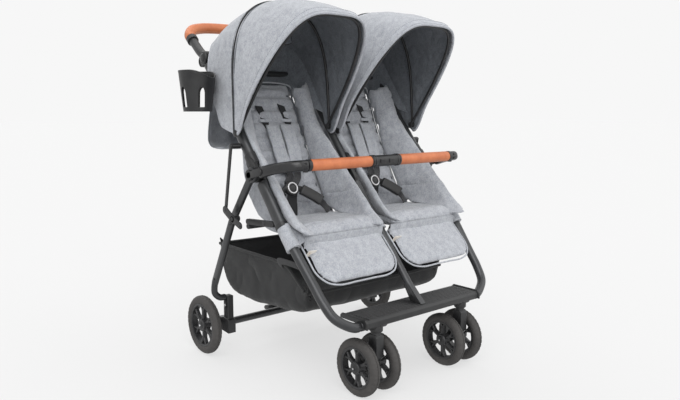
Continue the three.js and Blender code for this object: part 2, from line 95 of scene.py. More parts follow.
def at(x, y, z):
    """A point in millimetres in the stroller's frame, as metres in the row frame."""
    return Vector((x, y, z)) * MM + ORIGIN


def on_tubes(z):
    """The y of the plane of the side tubes at a height."""
    return FOLD_Y + TUBE_SLOPE * (z - FOLD_Z)


def along_tube(x, distance):
    """A point at a signed distance up the tubes from the fold axis."""
    return (x, FOLD_Y + distance * math.sin(TUBE_TILT), FOLD_Z + distance * math.cos(TUBE_TILT))


# --------------------------------------------------------------------------- materials
class Nodes:
    """A short way to write a node tree around a Principled shader."""

    def __init__(self, name, **uniform):
        self.material = bpy.data.materials.new(name)
        self.material.use_nodes = True
        self.tree = self.material.node_tree
        self.shader = self.tree.nodes["Principled BSDF"]
        for socket, value in uniform.items():
            self.shader.inputs[socket.replace("_", " ")].default_value = value
        self.coords = self.tree.nodes.new("ShaderNodeTexCoord").outputs["Object"]

    def put(self, socket, value):
        if isinstance(value, bpy.types.NodeSocket):
            self.tree.links.new(value, socket)
        else:
            socket.default_value = value

    def add(self, kind, inputs, **properties):
        node = self.tree.nodes.new(kind)
        for key, value in properties.items():
            setattr(node, key, value)
        for key, value in inputs.items():
            self.put(node.inputs[key], value)
        return node

    def noise(self, scale, detail=2.0, stretch=(1, 1, 1), rough=0.5):
        mapping = self.add("ShaderNodeMapping", {"Vector": self.coords, "Scale": stretch})
        inputs = {"Vector": mapping.outputs[0], "Scale": scale, "Detail": detail, "Roughness": rough}
        return self.add("ShaderNodeTexNoise", inputs).outputs["Fac"]

    def bands(self, pitch, direction, distortion):
        """Parallel ridges, pitch metres apart."""
        inputs = {"Vector": self.coords, "Scale": 2 * math.pi / (20 * pitch), "Distortion": distortion}
        return self.add("ShaderNodeTexWave", inputs, bands_direction=direction).outputs["Fac"]

    def math(self, operation, a, b):
        return self.add("ShaderNodeMath", {0: a, 1: b}, operation=operation).outputs[0]

    def spread(self, value, low, high, to_low, to_high):
        inputs = {"Value": value, "From Min": low, "From Max": high, "To Min": to_low, "To Max": to_high}
        return self.add("ShaderNodeMapRange", inputs).outputs[0]

    def mix(self, factor, a, b):
        a, b = ((*c, 1) if isinstance(c, tuple) else c for c in (a, b))
        return self.add("ShaderNodeMix", {"Factor": factor, "A": a, "B": b}, data_type="RGBA").outputs["Result"]

    def finish(self, color, rough, height, distance, strength):
        """Sets colour, roughness and relief, and gives the material."""
        inputs = {"Height": height, "Distance": distance, "Strength": strength}
        normal = self.add("ShaderNodeBump", inputs).outputs[0]
        for socket, value in (("Base Color", color), ("Roughness", rough), ("Normal", normal)):
            self.put(self.shader.inputs[socket], value)
        return self.material


def heather(name, dark, light, sheen=0.25):
    """Melange woven cloth: two yarn colours in fine streaks, with a plain weave in relief."""
    n = Nodes(name, Sheen_Weight=sheen, Sheen_Roughness=0.45, Specular_IOR_Level=0.25)
    yarn = n.noise(420, 3, (1, 1, 0.45), 0.7)
    patch = n.noise(70, 4, (1, 1, 0.7), 0.6)
    factor = n.math("ADD", n.math("MULTIPLY", yarn, 0.65), n.math("MULTIPLY", patch, 0.35))
    weave = n.math("ADD", n.bands(0.0011, "X", 1.5), n.bands(0.0011, "Z", 1.5))
    return n.finish(n.mix(n.spread(factor, 0.36, 0.64, 0, 1), dark, light), n.spread(yarn, 0.3, 0.7, 0.82, 0.97),
                    n.math("ADD", weave, n.math("MULTIPLY", yarn, 1.5)), 0.0004, 0.55)


def plain_weave(name, dark, light, pitch, direction="X"):
    """Tightly woven synthetic cloth or webbing with ribs."""
    n = Nodes(name, Sheen_Weight=0.12, Sheen_Roughness=0.5, Specular_IOR_Level=0.3)
    blotch = n.noise(45, 4)
    ribs = n.math("ADD", n.bands(pitch, direction, 0.6), n.math("MULTIPLY", n.noise(600, 2), 0.8))
    return n.finish(n.mix(n.spread(blotch, 0.3, 0.7, 0, 1), dark, light), n.spread(blotch, 0.3, 0.7, 0.7, 0.92),
                    ribs, 0.0003, 0.6)


def leather():
    n = Nodes("leather_tan", Specular_IOR_Level=0.4, Coat_Weight=0.08, Coat_Roughness=0.35)
    cells = n.add("ShaderNodeTexVoronoi", {"Vector": n.coords, "Scale": 620.0}).outputs["Distance"]
    stain = n.noise(28, 5, rough=0.6)
    tone = n.mix(n.spread(stain, 0.3, 0.7, 0, 1), (0.36, 0.098, 0.033), (0.49, 0.158, 0.062))
    return n.finish(n.mix(n.spread(cells, 0.0, 0.25, 0.35, 0), tone, (0.27, 0.07, 0.022)),
                    n.spread(stain, 0.3, 0.7, 0.40, 0.55),
                    n.math("SUBTRACT", n.noise(260, 3), n.math("MULTIPLY", cells, -0.9)), 0.00035, 0.5)


def powder_coat():
    n = Nodes("frame_charcoal", Metallic=0.55, Specular_IOR_Level=0.5, Coat_Weight=0.12, Coat_Roughness=0.3)
    cloud = n.noise(14, 4)
    return n.finish(n.mix(n.spread(cloud, 0.3, 0.7, 0, 1), (0.030, 0.031, 0.033), (0.047, 0.048, 0.050)),
                    n.spread(cloud, 0.3, 0.7, 0.30, 0.40), n.noise(1900, 2), 0.00012, 0.35)


def moulded(name, dark, light, rough_low, rough_high, grain=2300):
    """Moulded plastic or rubber with a fine grain and slightly worn high spots."""
    n = Nodes(name, Specular_IOR_Level=0.45)
    wear = n.noise(20, 5, rough=0.65)
    return n.finish(n.mix(n.spread(wear, 0.35, 0.68, 0, 1), dark, light),
                    n.spread(wear, 0.3, 0.7, rough_low, rough_high), n.noise(grain, 2), 0.00012, 0.4)


def steel():
    n = Nodes("zinc_steel", Metallic=1.0)
    streak = n.noise(900, 2, (0.15, 1, 1))
    return n.finish(n.mix(streak, (0.42, 0.42, 0.43), (0.66, 0.66, 0.67)), n.spread(streak, 0.3, 0.7, 0.22, 0.38),
                    streak, 0.00003, 0.3)


HEATHER = heather("heather_grey", (0.228, 0.240, 0.265), (0.418, 0.431, 0.458))
TRIM = heather("heather_binding", (0.25, 0.262, 0.29), (0.43, 0.445, 0.475))
# Painted shade: a darker copy of the heather cloth, for cloth that lies in shade (canopy insides, back curtains, canopy
# flaps, backrest boards, pouch hems).
SHADED_HEATHER = heather("heather_painted_shade", (0.098, 0.108, 0.122), (0.185, 0.199, 0.218), 0.15)
WEBBING = plain_weave("webbing_black", (0.008, 0.008, 0.009), (0.017, 0.017, 0.019), 0.0016)
BASKET = plain_weave("basket_black", (0.0084, 0.0087, 0.009), (0.018, 0.0186, 0.0192), 0.0014, "Y")
LEATHER = leather()
METAL = powder_coat()
PLASTIC = moulded("nylon_black", (0.0078, 0.0078, 0.0084), (0.016, 0.0165, 0.0172), 0.34, 0.50)
GLOSS = moulded("abs_black_gloss", (0.009, 0.009, 0.010), (0.016, 0.016, 0.017), 0.16, 0.26, 1200)
RUBBER = moulded("tyre_rubber", (0.030, 0.028, 0.027), (0.052, 0.049, 0.047), 0.66, 0.86, 900)
RIM = moulded("rim_black", (0.012, 0.012, 0.013), (0.024, 0.024, 0.025), 0.34, 0.5)
STEEL = steel()
# Dark thread for real seams and stitches, also used for painted shade lines on the backrests.
DARK_THREAD_AND_SHADE = heather("thread_and_painted_shade", (0.06, 0.065, 0.075), (0.11, 0.12, 0.13), 0.1)
TAN_THREAD = heather("thread_tan", (0.50, 0.24, 0.12), (0.66, 0.36, 0.20), 0.1)
TAB = plain_weave("tab_cream", (0.62, 0.58, 0.52), (0.74, 0.70, 0.64), 0.0009)
TAB_MARK = plain_weave("tab_orange", (0.62, 0.19, 0.03), (0.74, 0.27, 0.05), 0.0009)


# ------------------------------------------------------------------------------ shapes
# A shape is a pair: a list of points in millimetres and a list of faces.
def combine(*shapes):
    points, faces = [], []
    for shape_points, shape_faces in shapes:
        base = len(points)
        points += [tuple(p) for p in shape_points]
        faces += [tuple(i + base for i in face) for face in shape_faces]
    return points, faces


def smooth_route(controls, steps):
    """steps + 1 points along a smooth curve through the controls, evenly spaced in length."""
    controls = np.array(controls, float)
    apart = np.linalg.norm(np.diff(controls, axis=0), axis=1) > 1e-6
    controls = controls[np.concatenate([[True], apart])]
    knots = np.concatenate([[0], np.cumsum(np.sqrt(np.linalg.norm(np.diff(controls, axis=0), axis=1)))])
    slopes = np.gradient(controls, knots, axis=0)
    fine = np.linspace(0, knots[-1], 24 * len(controls))
    k = np.clip(np.searchsorted(knots, fine, side="right") - 1, 0, len(knots) - 2)
    h = (knots[k + 1] - knots[k])[:, None]
    s = (fine - knots[k])[:, None] / h
    curve = ((2 * s**3 - 3 * s**2 + 1) * controls[k] + (s**3 - 2 * s**2 + s) * h * slopes[k]
             + (3 * s**2 - 2 * s**3) * controls[k + 1] + (s**3 - s**2) * h * slopes[k + 1])
    length = np.concatenate([[0], np.cumsum(np.linalg.norm(np.diff(curve, axis=0), axis=1))])
    even = np.linspace(0, length[-1], steps + 1)
    return np.stack([np.interp(even, length, curve[:, i]) for i in range(3)], 1)


def oval(a, b, sides=24, power=2.0):
    """A closed section: an ellipse for power 2, squarer above."""
    angles = np.linspace(0, 2 * math.pi, sides, endpoint=False)
    c, s = np.cos(angles), np.sin(angles)
    return np.stack([a * np.sign(c) * np.abs(c) ** (2 / power), b * np.sign(s) * np.abs(s) ** (2 / power)], 1)


def sweep(route, section, across, scale=None, ends=True):
    """A section carried along a route. across is the section's first axis at the start.
    scale(k) is a factor, or a pair of them, for the section at a share k of the route."""
    route = np.array(route, float)
    section = np.array(section, float)
    tangent = np.gradient(route, axis=0)
    tangent /= np.linalg.norm(tangent, axis=1)[:, None]
    side = np.array(across, float)
    points = []
    for i, (p, t) in enumerate(zip(route, tangent)):
        side = side - t * side.dot(t)
        side /= np.linalg.norm(side)
        up = np.cross(t, side)
        factor = np.ones(2) * (1 if scale is None else scale(i / (len(route) - 1)))
        points += [p + side * a * factor[0] + up * b * factor[1] for a, b in section]
    n = len(section)
    faces = [(i * n + j, i * n + (j + 1) % n, (i + 1) * n + (j + 1) % n, (i + 1) * n + j)
             for i in range(len(route) - 1) for j in range(n)]
    if ends:
        faces += [tuple(range(n - 1, -1, -1)), tuple(range((len(route) - 1) * n, len(route) * n))]
    return points, faces


def rounded_ends(k, share, low=0.86):
    """A section scale that draws in over a small share of the route at each end."""
    edge = min(k, 1 - k) / share
    return 1 if edge >= 1 else low + (1 - low) * math.sqrt(max(0.0, 1 - (1 - edge) ** 2))


def tube(controls, r, steps=40, sides=24, across=(1, 0, 0.01)):
    return sweep(smooth_route(controls, steps), oval(r, r, sides), across,
                 lambda k: rounded_ends(k, 1.01 / steps, 0.9))


def straight(a, b, section, across=(1, 0, 0), steps=14, edge=0.08, low=0.9):
    """A straight bar with softened ends."""
    a, b = np.array(a, float), np.array(b, float)
    shares = sorted(set(np.round(np.concatenate([np.linspace(0, 1, steps + 1), [edge / 3, 1 - edge / 3]]), 4)))
    return sweep([a + (b - a) * k for k in shares], section, across, lambda k: 1 if 0 < k < 1 else low)


def rings(points, sides, closed=False):
    """The faces around a body whose points come as profiles, one for each of its sides."""
    n = len(points) // sides
    return [(i * n + j, (i + 1) % sides * n + j, (i + 1) % sides * n + (j + 1) % n, i * n + (j + 1) % n)
            for i in range(sides) for j in range(n if closed else n - 1)]


def lathe(profile, centre=(0, 0, 0), axis="x", sides=48, facing=1):
    """A closed ring or disc: profile points are (radius, height along the axis)."""
    points = []
    for i in range(sides):
        a = 2 * math.pi * i / sides
        for r, h in profile:
            ring, h = (r * math.cos(a), r * math.sin(a)), h * facing
            local = {"x": (h, *ring), "y": (ring[0], h, ring[1]), "z": (*ring, h)}[axis]
            points.append(np.array(local) + np.array(centre))
    return tidy_shape(points, rings(points, sides))


def tidy_shape(points, faces):
    """Joins points that coincide, so that poles and seams close."""
    index, kept, where = {}, [], []
    for p in points:
        key = tuple(np.round(np.array(p, float), 4))
        if key not in index:
            index[key] = len(kept)
            kept.append(key)
        where.append(index[key])
    cleaned = []
    for face in faces:
        ring = [where[i] for i in face]
        ring = [v for i, v in enumerate(ring) if v != ring[i - 1]]
        if len(set(ring)) >= 3:
            cleaned.append(tuple(ring))
    return kept, cleaned


def slab(outline, x1, x2):
    """An outline of (y, z) points extruded along X."""
    n = len(outline)
    points = [(x1, y, z) for y, z in outline] + [(x2, y, z) for y, z in outline]
    faces = [(i, (i + 1) % n, n + (i + 1) % n, n + i) for i in range(n)]
    return points, faces + [tuple(range(n - 1, -1, -1)), tuple(range(n, 2 * n))]


def arc(cy, cz, r, start, end, steps):
    angles = np.radians(np.linspace(start, end, steps + 1))
    return [(cy + r * math.cos(a), cz + r * math.sin(a)) for a in angles]


def link(a, b, r, x1, x2, steps=12):
    """A flat bar with round ends between two (y, z) points."""
    heading = math.degrees(math.atan2(b[1] - a[1], b[0] - a[0]))
    outline = arc(*a, r, heading + 90, heading + 270, steps) + arc(*b, r, heading - 90, heading + 90, steps)
    return slab(outline, x1, x2)


def grid(function, nu, nv):
    """A sheet: function(u, v) gives a point for u and v from 0 to 1."""
    points = [function(i / nu, j / nv) for i in range(nu + 1) for j in range(nv + 1)]
    w = nv + 1
    faces = [(i * w + j, (i + 1) * w + j, (i + 1) * w + j + 1, i * w + j + 1) for i in range(nu) for j in range(nv)]
    return points, faces


def curve_value(stations, z):
    """Smooth interpolation of a column of values given at rising stations."""
    xs = [s[0] for s in stations]
    ys = np.array([s[1:] for s in stations], float)
    slopes = np.gradient(ys, xs, axis=0)
    z = min(max(z, xs[0]), xs[-1])
    k = min(max(int(np.searchsorted(xs, z, side="right")) - 1, 0), len(xs) - 2)
    h = xs[k + 1] - xs[k]
    s = (z - xs[k]) / h
    return ((2 * s**3 - 3 * s**2 + 1) * ys[k] + (s**3 - 2 * s**2 + s) * h * slopes[k]
            + (3 * s**2 - 2 * s**3) * ys[k + 1] + (s**3 - s**2) * h * slopes[k + 1])


def pad(surface, half, nu=40, nv=60, edge=2.6, crown=8.0):
    """A crowned closed cushion around a middle surface(u, v). half(u, v) is its half thickness."""
    front, back = [], []
    for i in range(nu + 1):
        for j in range(nv + 1):
            # Cosine spacing puts more points where the sides turn.
            u, v = (1 - math.cos(math.pi * i / nu)) / 2, (1 - math.cos(math.pi * j / nv)) / 2
            e = 1e-3
            p = np.array(surface(u, v))
            du = np.array(surface(min(u + e, 1), v)) - np.array(surface(max(u - e, 0), v))
            dv = np.array(surface(u, min(v + e, 1))) - np.array(surface(u, max(v - e, 0)))
            normal = np.cross(du, dv)
            normal /= max(np.linalg.norm(normal), 1e-9)
            a, b = abs(2 * u - 1), abs(2 * v - 1)
            t = half(u, v) * max(0.0, (1 - a**crown)) ** (1 / edge) * max(0.0, (1 - b**crown)) ** (1 / edge)
            front.append(p + normal * t)
            back.append(p - normal * t)
    w, n = nv + 1, len(front)
    cells = [(i * w + j, (i + 1) * w + j, (i + 1) * w + j + 1, i * w + j + 1) for i in range(nu) for j in range(nv)]
    return tidy_shape(front + back, cells + [tuple(n + k for k in reversed(c)) for c in cells])


def strap(controls, width, thick, across=(1, 0, 0), steps=30):
    """Flat webbing along a route."""
    return sweep(smooth_route(controls, steps), oval(width / 2, thick / 2, 20, 5), across)


def cord(route, a, b=None, sides=10, across=(0, 1, 0)):
    """A thin round or oval cord along a route."""
    return sweep(route, oval(a, b or a, sides), across)


def moved(shape, dx=0, dy=0):
    return [(p[0] + dx, p[1] + dy, p[2]) for p in shape[0]], shape[1]


def stitches(route, pitch=4.5, length=3.0, r=0.45):
    """A row of thread stitches along a route of points."""
    route = np.array(route, float)
    gaps = np.linalg.norm(np.diff(route, axis=0), axis=1)
    reach = np.concatenate([[0], np.cumsum(gaps)])
    shapes = []
    for start in np.arange(pitch / 2, reach[-1] - length, pitch):
        a, b = (np.array([np.interp(d, reach, route[:, i]) for i in range(3)]) for d in (start, start + length))
        shapes.append(bead(a, b, r))
    return combine(*shapes)


def bead(a, b, r):
    """A small spindle between two points."""
    t = (b - a) / np.linalg.norm(b - a)
    side = np.cross(t, (0.3, 0.5, 0.8))
    side /= np.linalg.norm(side)
    up = np.cross(t, side)
    points = [a, *(a * (1 - k) + b * k + r * (side * math.cos(q) + up * math.sin(q))
                   for k in (0.25, 0.75) for q in np.radians((0, 90, 180, 270))), b]
    faces = [(0, 1 + (j + 1) % 4, 1 + j) for j in range(4)] + [(9, 5 + j, 5 + (j + 1) % 4) for j in range(4)]
    faces += [(1 + j, 1 + (j + 1) % 4, 5 + (j + 1) % 4, 5 + j) for j in range(4)]
    return points, faces


# ------------------------------------------------------------------------------ pieces
def add_object(name, data):
    obj = bpy.data.objects.new(name, data)
    bpy.context.scene.collection.objects.link(obj)
    return obj


def modify(obj, kind, **settings):
    """Adds a modifier and sets its values."""
    change = obj.modifiers.new(kind.lower(), kind)
    for key, value in settings.items():
        setattr(change, key, value)


def piece(name, shape, material, body=None, replaces="", bevel=0.0, thick=0.0, sharp=38):
    """Makes an object from a shape, softens its edges, and fixes it to a body."""
    points, faces = shape
    mesh = bpy.data.meshes.new(name)
    mesh.from_pydata([at(*p) for p in points], [], faces)
    mesh.validate()
    mesh.materials.append(material)
    obj = add_object(name, mesh)
    settle(obj)
    if thick:
        modify(obj, "SOLIDIFY", thickness=thick * MM, offset=0)
    if bevel:
        modify(obj, "BEVEL", width=bevel * MM, segments=3, limit_method="ANGLE", angle_limit=math.radians(32))
    bake(obj, sharp)
    if body:
        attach(obj, body)
    if replaces:
        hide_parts(replaces)
    return obj


def settle(obj):
    """Makes all faces of a mesh point out."""
    work = bmesh.new()
    work.from_mesh(obj.data)
    bmesh.ops.recalc_face_normals(work, faces=work.faces)
    work.to_mesh(obj.data)
    work.free()


def bake(obj, sharp=38):
    """Applies the modifiers and shades the mesh smooth up to an angle."""
    if obj.modifiers:
        graph = bpy.context.evaluated_depsgraph_get()
        final = bpy.data.meshes.new_from_object(obj.evaluated_get(graph))
        obj.modifiers.clear()
        obj.data = final
    obj.data.shade_smooth()
    obj.data.set_sharp_from_angle(angle=math.radians(sharp))
    return obj


def refine(node, material, bevel=1.5):
    """A copy of a CAD node with its edges softened, which stands for the node."""
    mesh = frame["nodes"][node].data
    work = bmesh.new()
    work.from_mesh(mesh)
    bmesh.ops.remove_doubles(work, verts=work.verts, dist=1e-6)
    bmesh.ops.dissolve_limit(work, angle_limit=math.radians(1), verts=work.verts, edges=work.edges)
    points = [(np.array(v.co) - np.array(ORIGIN)) / MM for v in work.verts]
    faces = [tuple(v.index for v in face.verts) for face in work.faces]
    work.free()
    return piece(f"{node}_shell", (points, faces), material, BODY_OF[node], node, bevel=bevel)


def wrinkle(obj, size, depth, seed=0.0, keep=None):
    """Small folds: moves each point along its normal by smooth noise. keep(point) scales them."""
    for v in obj.data.vertices:
        p = (v.co - ORIGIN) / MM
        amount = noise.noise(Vector((p.x + seed, p.y, p.z * 0.8)) / size)
        amount += 0.45 * noise.noise(Vector((p.x, p.y + seed, p.z)) / (size * 0.42))
        v.co += v.normal * amount * depth * MM * (keep(p) if keep else 1)
    return obj


def crease(obj, weight, depth):
    """Sewn channels: pulls each point in along its normal by weight(point, normal) times depth."""
    for v in obj.data.vertices:
        v.co -= v.normal * depth * MM * weight((v.co - ORIGIN) / MM, v.normal)
    return obj


def groove(value, centre, width):
    return math.exp(-((value - centre) / width) ** 2)


def inflate(obj, voxel, cap, pressure=5.0, frames=12):
    """Cloth simulation that fills a cushion with air, so that its cover wrinkles and swells."""
    modify(obj, "REMESH", mode="VOXEL", voxel_size=voxel * MM)
    bake(obj)
    rest = np.array([v.co for v in obj.data.vertices])
    cloth = obj.modifiers.new("cloth", "CLOTH")
    cloth.settings.use_pressure = True
    cloth.settings.uniform_pressure_force = pressure
    cloth.settings.effector_weights.gravity = 0
    cloth.settings.quality = 4
    cloth.settings.mass = 0.2
    scene = bpy.context.scene
    for number in range(1, frames + 1):
        scene.frame_set(number)
    graph = bpy.context.evaluated_depsgraph_get()
    final = bpy.data.meshes.new_from_object(obj.evaluated_get(graph))
    moved = np.array([v.co for v in final.vertices]) - rest
    reach = np.linalg.norm(moved, axis=1)
    moved *= np.minimum(1, cap * MM / np.maximum(reach, 1e-9))[:, None]
    for v, p in zip(final.vertices, rest + moved):
        v.co = p
    obj.modifiers.clear()
    obj.data = final
    scene.frame_set(1)
    modify(obj, "SUBSURF", levels=1, render_levels=1)
    return bake(obj)


def copy_of(obj, name, dx=0.0, mirror_at=None):
    """A copy moved along X, or mirrored in the plane x = mirror_at."""
    mesh = obj.data.copy()
    for v in mesh.vertices:
        if mirror_at is None:
            v.co.x += dx * MM
        else:
            v.co.x = 2 * at(mirror_at, 0, 0).x - v.co.x
    if mirror_at is not None:
        mesh.flip_normals()
    return add_object(name, mesh)


def declare_sheet(obj, width, held, *rests_on):
    """Returns the cloth unchanged. width, for a cut width metres wide that fills a share of its rectangle, is not used.
    The mesh has two faces.
    """
    return obj


def cushion(cover, body, node):
    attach(cover, body)
    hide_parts(node)


# ------------------------------------------------------------------- frame and linkage
LONG = {"steps": 20, "edge": 0.01}  # a long bar: more stations, shorter soft ends


def rivet(name, x, y, z, r, body, facing=1, material=None):
    """A domed rivet head with a washer, blackened unless a material is given."""
    head = [(0, 2.2), (r * 0.45, 2.0), (r * 0.8, 1.3), (r, 0.6), (r, -0.6), (0, -0.6)]
    washer = [(0, 0.3), (r * 1.45, 0.3), (r * 1.55, 0), (r * 1.55, -0.8), (0, -0.8)]
    shape = combine(*(lathe(profile, (x, y, z), "x", 28, facing) for profile in (head, washer)))
    piece(name, shape, material or METAL, body)


def bar_x(x1, x2, y, z, r, sides=24, power=2.0, **more):
    """A round bar along X."""
    return straight((x1, y, z), (x2, y, z), oval(r, r, sides, power), (0, 1, 0), **more)


def oval_bar(x, start, end, across, deep, power=2.0):
    """An oval tube along the tube plane, between distances from the fold axis."""
    return straight(along_tube(x, start), along_tube(x, end), oval(across / 2, deep / 2, 36, power), (1, 0, 0))


def eye(x1, x2, r=21):
    """A disc about the fold axis."""
    return slab(arc(FOLD_Y, FOLD_Z, r, 0, 350, 35), x1, x2)


def lug(x1, x2, reach):
    return combine(eye(x1, x2), link((FOLD_Y, FOLD_Z), along_tube(0, reach)[1:], 16, x1, x2))


def lower_frame():
    body, half, y, z = "front_frame", CROSSBAR["half"], CROSSBAR["y"], CROSSBAR["z"]
    corner_x, corner_z = 300, 258
    for side, s in SIDES:
        bend = [
            along_tube(s * TUBE_X, -153), (s * 314, on_tubes(375), 375), (s * 305, on_tubes(300), 300),
            (s * corner_x, on_tubes(corner_z), corner_z),
            (s * (corner_x - 12), on_tubes(corner_z) - 26, corner_z - 33),
            (s * (corner_x - 42), y + 6, z + 8), (s * (half + 14), y, z), (s * (half + 1), y, z),
        ]
        shape = combine(tube(bend, 12.5, 56, 32), oval_bar(s * TUBE_X, -165, -28, 28, 36))
        piece(f"lower_tube_{side}_outer", shape, METAL, body, f"lower_tube_{side}")
        piece(f"fold_lug_lower_{side}", lug(*sorted((s * 306, s * 319.5)), -38), PLASTIC, body, bevel=2)
        collar = oval_bar(s * TUBE_X, -169, -156, 30.4, 38.8, 2.2)
        piece(f"sleeve_collar_{side}", collar, PLASTIC, body, bevel=1)
    foot = slab([(-570, 213.8), (-530, 213.8), (-502, 256), (-520, 262)], -9, 9)
    centre = combine(oval_bar(0, -430, -28, 22, 22), foot)
    piece("centre_tube_lower_outer", centre, METAL, body, "centre_tube_lower", bevel=0.8)
    piece("centre_lug_lower", lug(-12, -0.2, -38), PLASTIC, body, bevel=2)
    piece("front_crossbar_tube", bar_x(-half, half, y, z, 12.5, 32, **LONG), METAL, body, "front_crossbar")
    for side, s in SIDES:
        x = s * CASTER["x"]
        socket = lathe([(0, -13), (15.5, -13), (17, -11), (17, 2), (15, 7), (0, 7)], (x, y, z - 11), "z", 36)
        piece(f"caster_socket_{side}", socket, PLASTIC, body, bevel=1)
        piece(f"crossbar_sleeve_{side}", bar_x(x - 27, x + 27, y, z, 15.5, 36, 2.3), PLASTIC, body, bevel=1.2)
    piece("seat_cross_tube_bar", bar_x(-320, 320, -207, 413, 8, **LONG), METAL, body, "seat_cross_tube")
    for side, s in SIDES:
        refine(f"seat_side_bar_{side}", PLASTIC, 1.5)
        rivet(f"seat_rail_rivet_{side}", s * 331.3, -300, 434, 3.6, body, s)


def footboard():
    """A moulded board over the front tube, with raised ribs along it."""
    half, around = 217, (CROSSBAR["y"], CROSSBAR["z"], 13)
    outline = [(-583, 192), (-583, 206), (-577, 212.6), (-492, 212.6), (-487, 208), (-487, 203), (-541, 203),
               (-544, 192)] + arc(*around, -12, 192, 12)
    piece("footboard_shell", slab(outline, -half, half), PLASTIC, "front_frame", "footboard", bevel=2)
    ribs = [straight((-half + 12, y, 212.6), (half - 12, y, 212.6), oval(2.4, 1.6, 12), (0, 1, 0), 12, 0.01)
            for y in range(-574, -494, 9)]
    piece("footboard_ribs", combine(*ribs), PLASTIC, "front_frame")
    outline = [(-586, 190), (-586, 207), (-579, 215), (-490, 215), (-484, 209), (-484, 201), (-540, 201),
               (-545, 190)] + arc(*around, -15, 195, 10)
    for side, s in SIDES:
        cap = slab(outline, *sorted((s * (half - 1), s * (half + 5))))
        piece(f"footboard_cap_{side}", cap, PLASTIC, "front_frame", bevel=1.6)


def rear_frame():
    body, knee = "rear_frame", (-158, 421)
    for side, s in SIDES:
        x = sorted((s * 334, s * 346))
        legs = combine(eye(*x), link((FOLD_Y, FOLD_Z), knee, 11, *x), link(knee, (-55, 226), 11, *x))
        piece(f"rear_leg_{side}_flat", legs, METAL, body, f"rear_leg_{side}", bevel=3)
        foot = tube([(s * 340, -62, 240), (s * 340, -52, 216), (s * 336, -47, 192), (s * 322, -50, 178),
                     (s * 304, -50, 176.5)], 9.5, 24, 24)
        piece(f"rear_leg_{side}_bend", foot, METAL, body)
        refine(f"rear_wheel_mount_{side}", PLASTIC, 3)
        rivet(f"leg_rivet_{side}", s * 346.2, *knee, 4, body, s)
        rivet(f"wheel_mount_rivet_{side}", s * 306.2, -50, 150, 3.4, body, s, STEEL)
        piece(f"axle_boss_{side}", bar_x(s * 300, s * 330, 0, 88, 8.5), PLASTIC, body)
        name, x = f"bell_crank_{side}", sorted((s * 364.8, s * 368.4))
        crank = combine(link(CRANK[0], CRANK[1], 11, *x), link(CRANK[0], CRANK[2], 9, *x))
        piece(f"{name}_plate", crank, PLASTIC, name, name, bevel=1)
        piece(f"{name}_boss", bar_x(*sorted((s * 346.4, s * 365)), *CRANK[0], 8), PLASTIC, name)
        for i, place in enumerate(CRANK):
            rivet(f"crank_rivet_{side}_{i + 1}", s * 368.6, *place, 3.4, name, s)
        name, top = f"link_rod_{side}", (-198, 634)
        rod = link(top, (-166, 466), 6, *sorted((s * 360.2, s * 364.6)))
        piece(f"{name}_bar", rod, PLASTIC, name, name, bevel=1.5)
        piece(f"{name}_pivot", bar_x(*sorted((s * 334, s * 360.6)), *top, 7), PLASTIC, name)
        rivet(f"link_rod_rivet_{side}", s * 364.8, *top, 3.4, name, s)
    piece("rear_axle_tube_bar", bar_x(-279.5, 279.5, -20, 86, 11, 32, **LONG), METAL, body, "rear_axle_tube")
    refine("brake_pedal", PLASTIC, 2.5)
    grips = [straight((x, 50, 85.4), (x, 64, 82.6), oval(2.2, 1.3, 10), (1, 0, 0)) for x in range(-70, 71, 20)]
    piece("brake_grips", combine(*grips), PLASTIC, "brake_pedal")


def upper_frame():
    body, top = "upper_frame", (HANDLE["z"] - FOLD_Z) / math.cos(TUBE_TILT)
    for side, s in SIDES:
        x = s * TUBE_X
        shape = combine(oval_bar(x, 28, top - 30, 25, 32), oval_bar(x, top - 62, top - 26, 30, 36))
        piece(f"upper_tube_{side}_outer", shape, METAL, body, f"upper_tube_{side}")
        piece(f"fold_lug_upper_{side}", lug(*sorted((s * 320.1, s * 333.3)), 38), PLASTIC, body, bevel=2)
        piece(f"upper_collar_{side}", oval_bar(x, 30, 66, 28.4, 35.6, 2.4), PLASTIC, body, bevel=1)
        profile = [(0, 3), (9, 2.8), (13, 1.6), (14.5, 0), (0, 0)]
        piece(f"fold_cap_{side}", lathe(profile, (s * 333.3, FOLD_Y, FOLD_Z), "x", 36, s), GLOSS, body)
    piece("centre_tube_upper_outer", oval_bar(0, 28, top - 66, 22, 22), METAL, body, "centre_tube_upper")
    piece("centre_lug_upper", lug(0.2, 12, 38), PLASTIC, body, bevel=2)
    cross = bar_x(-304.5, 304.5, *along_tube(0, top - 52)[1:], 9, 28, **LONG)
    piece("upper_cross_tube_bar", cross, METAL, body, "upper_cross_tube")


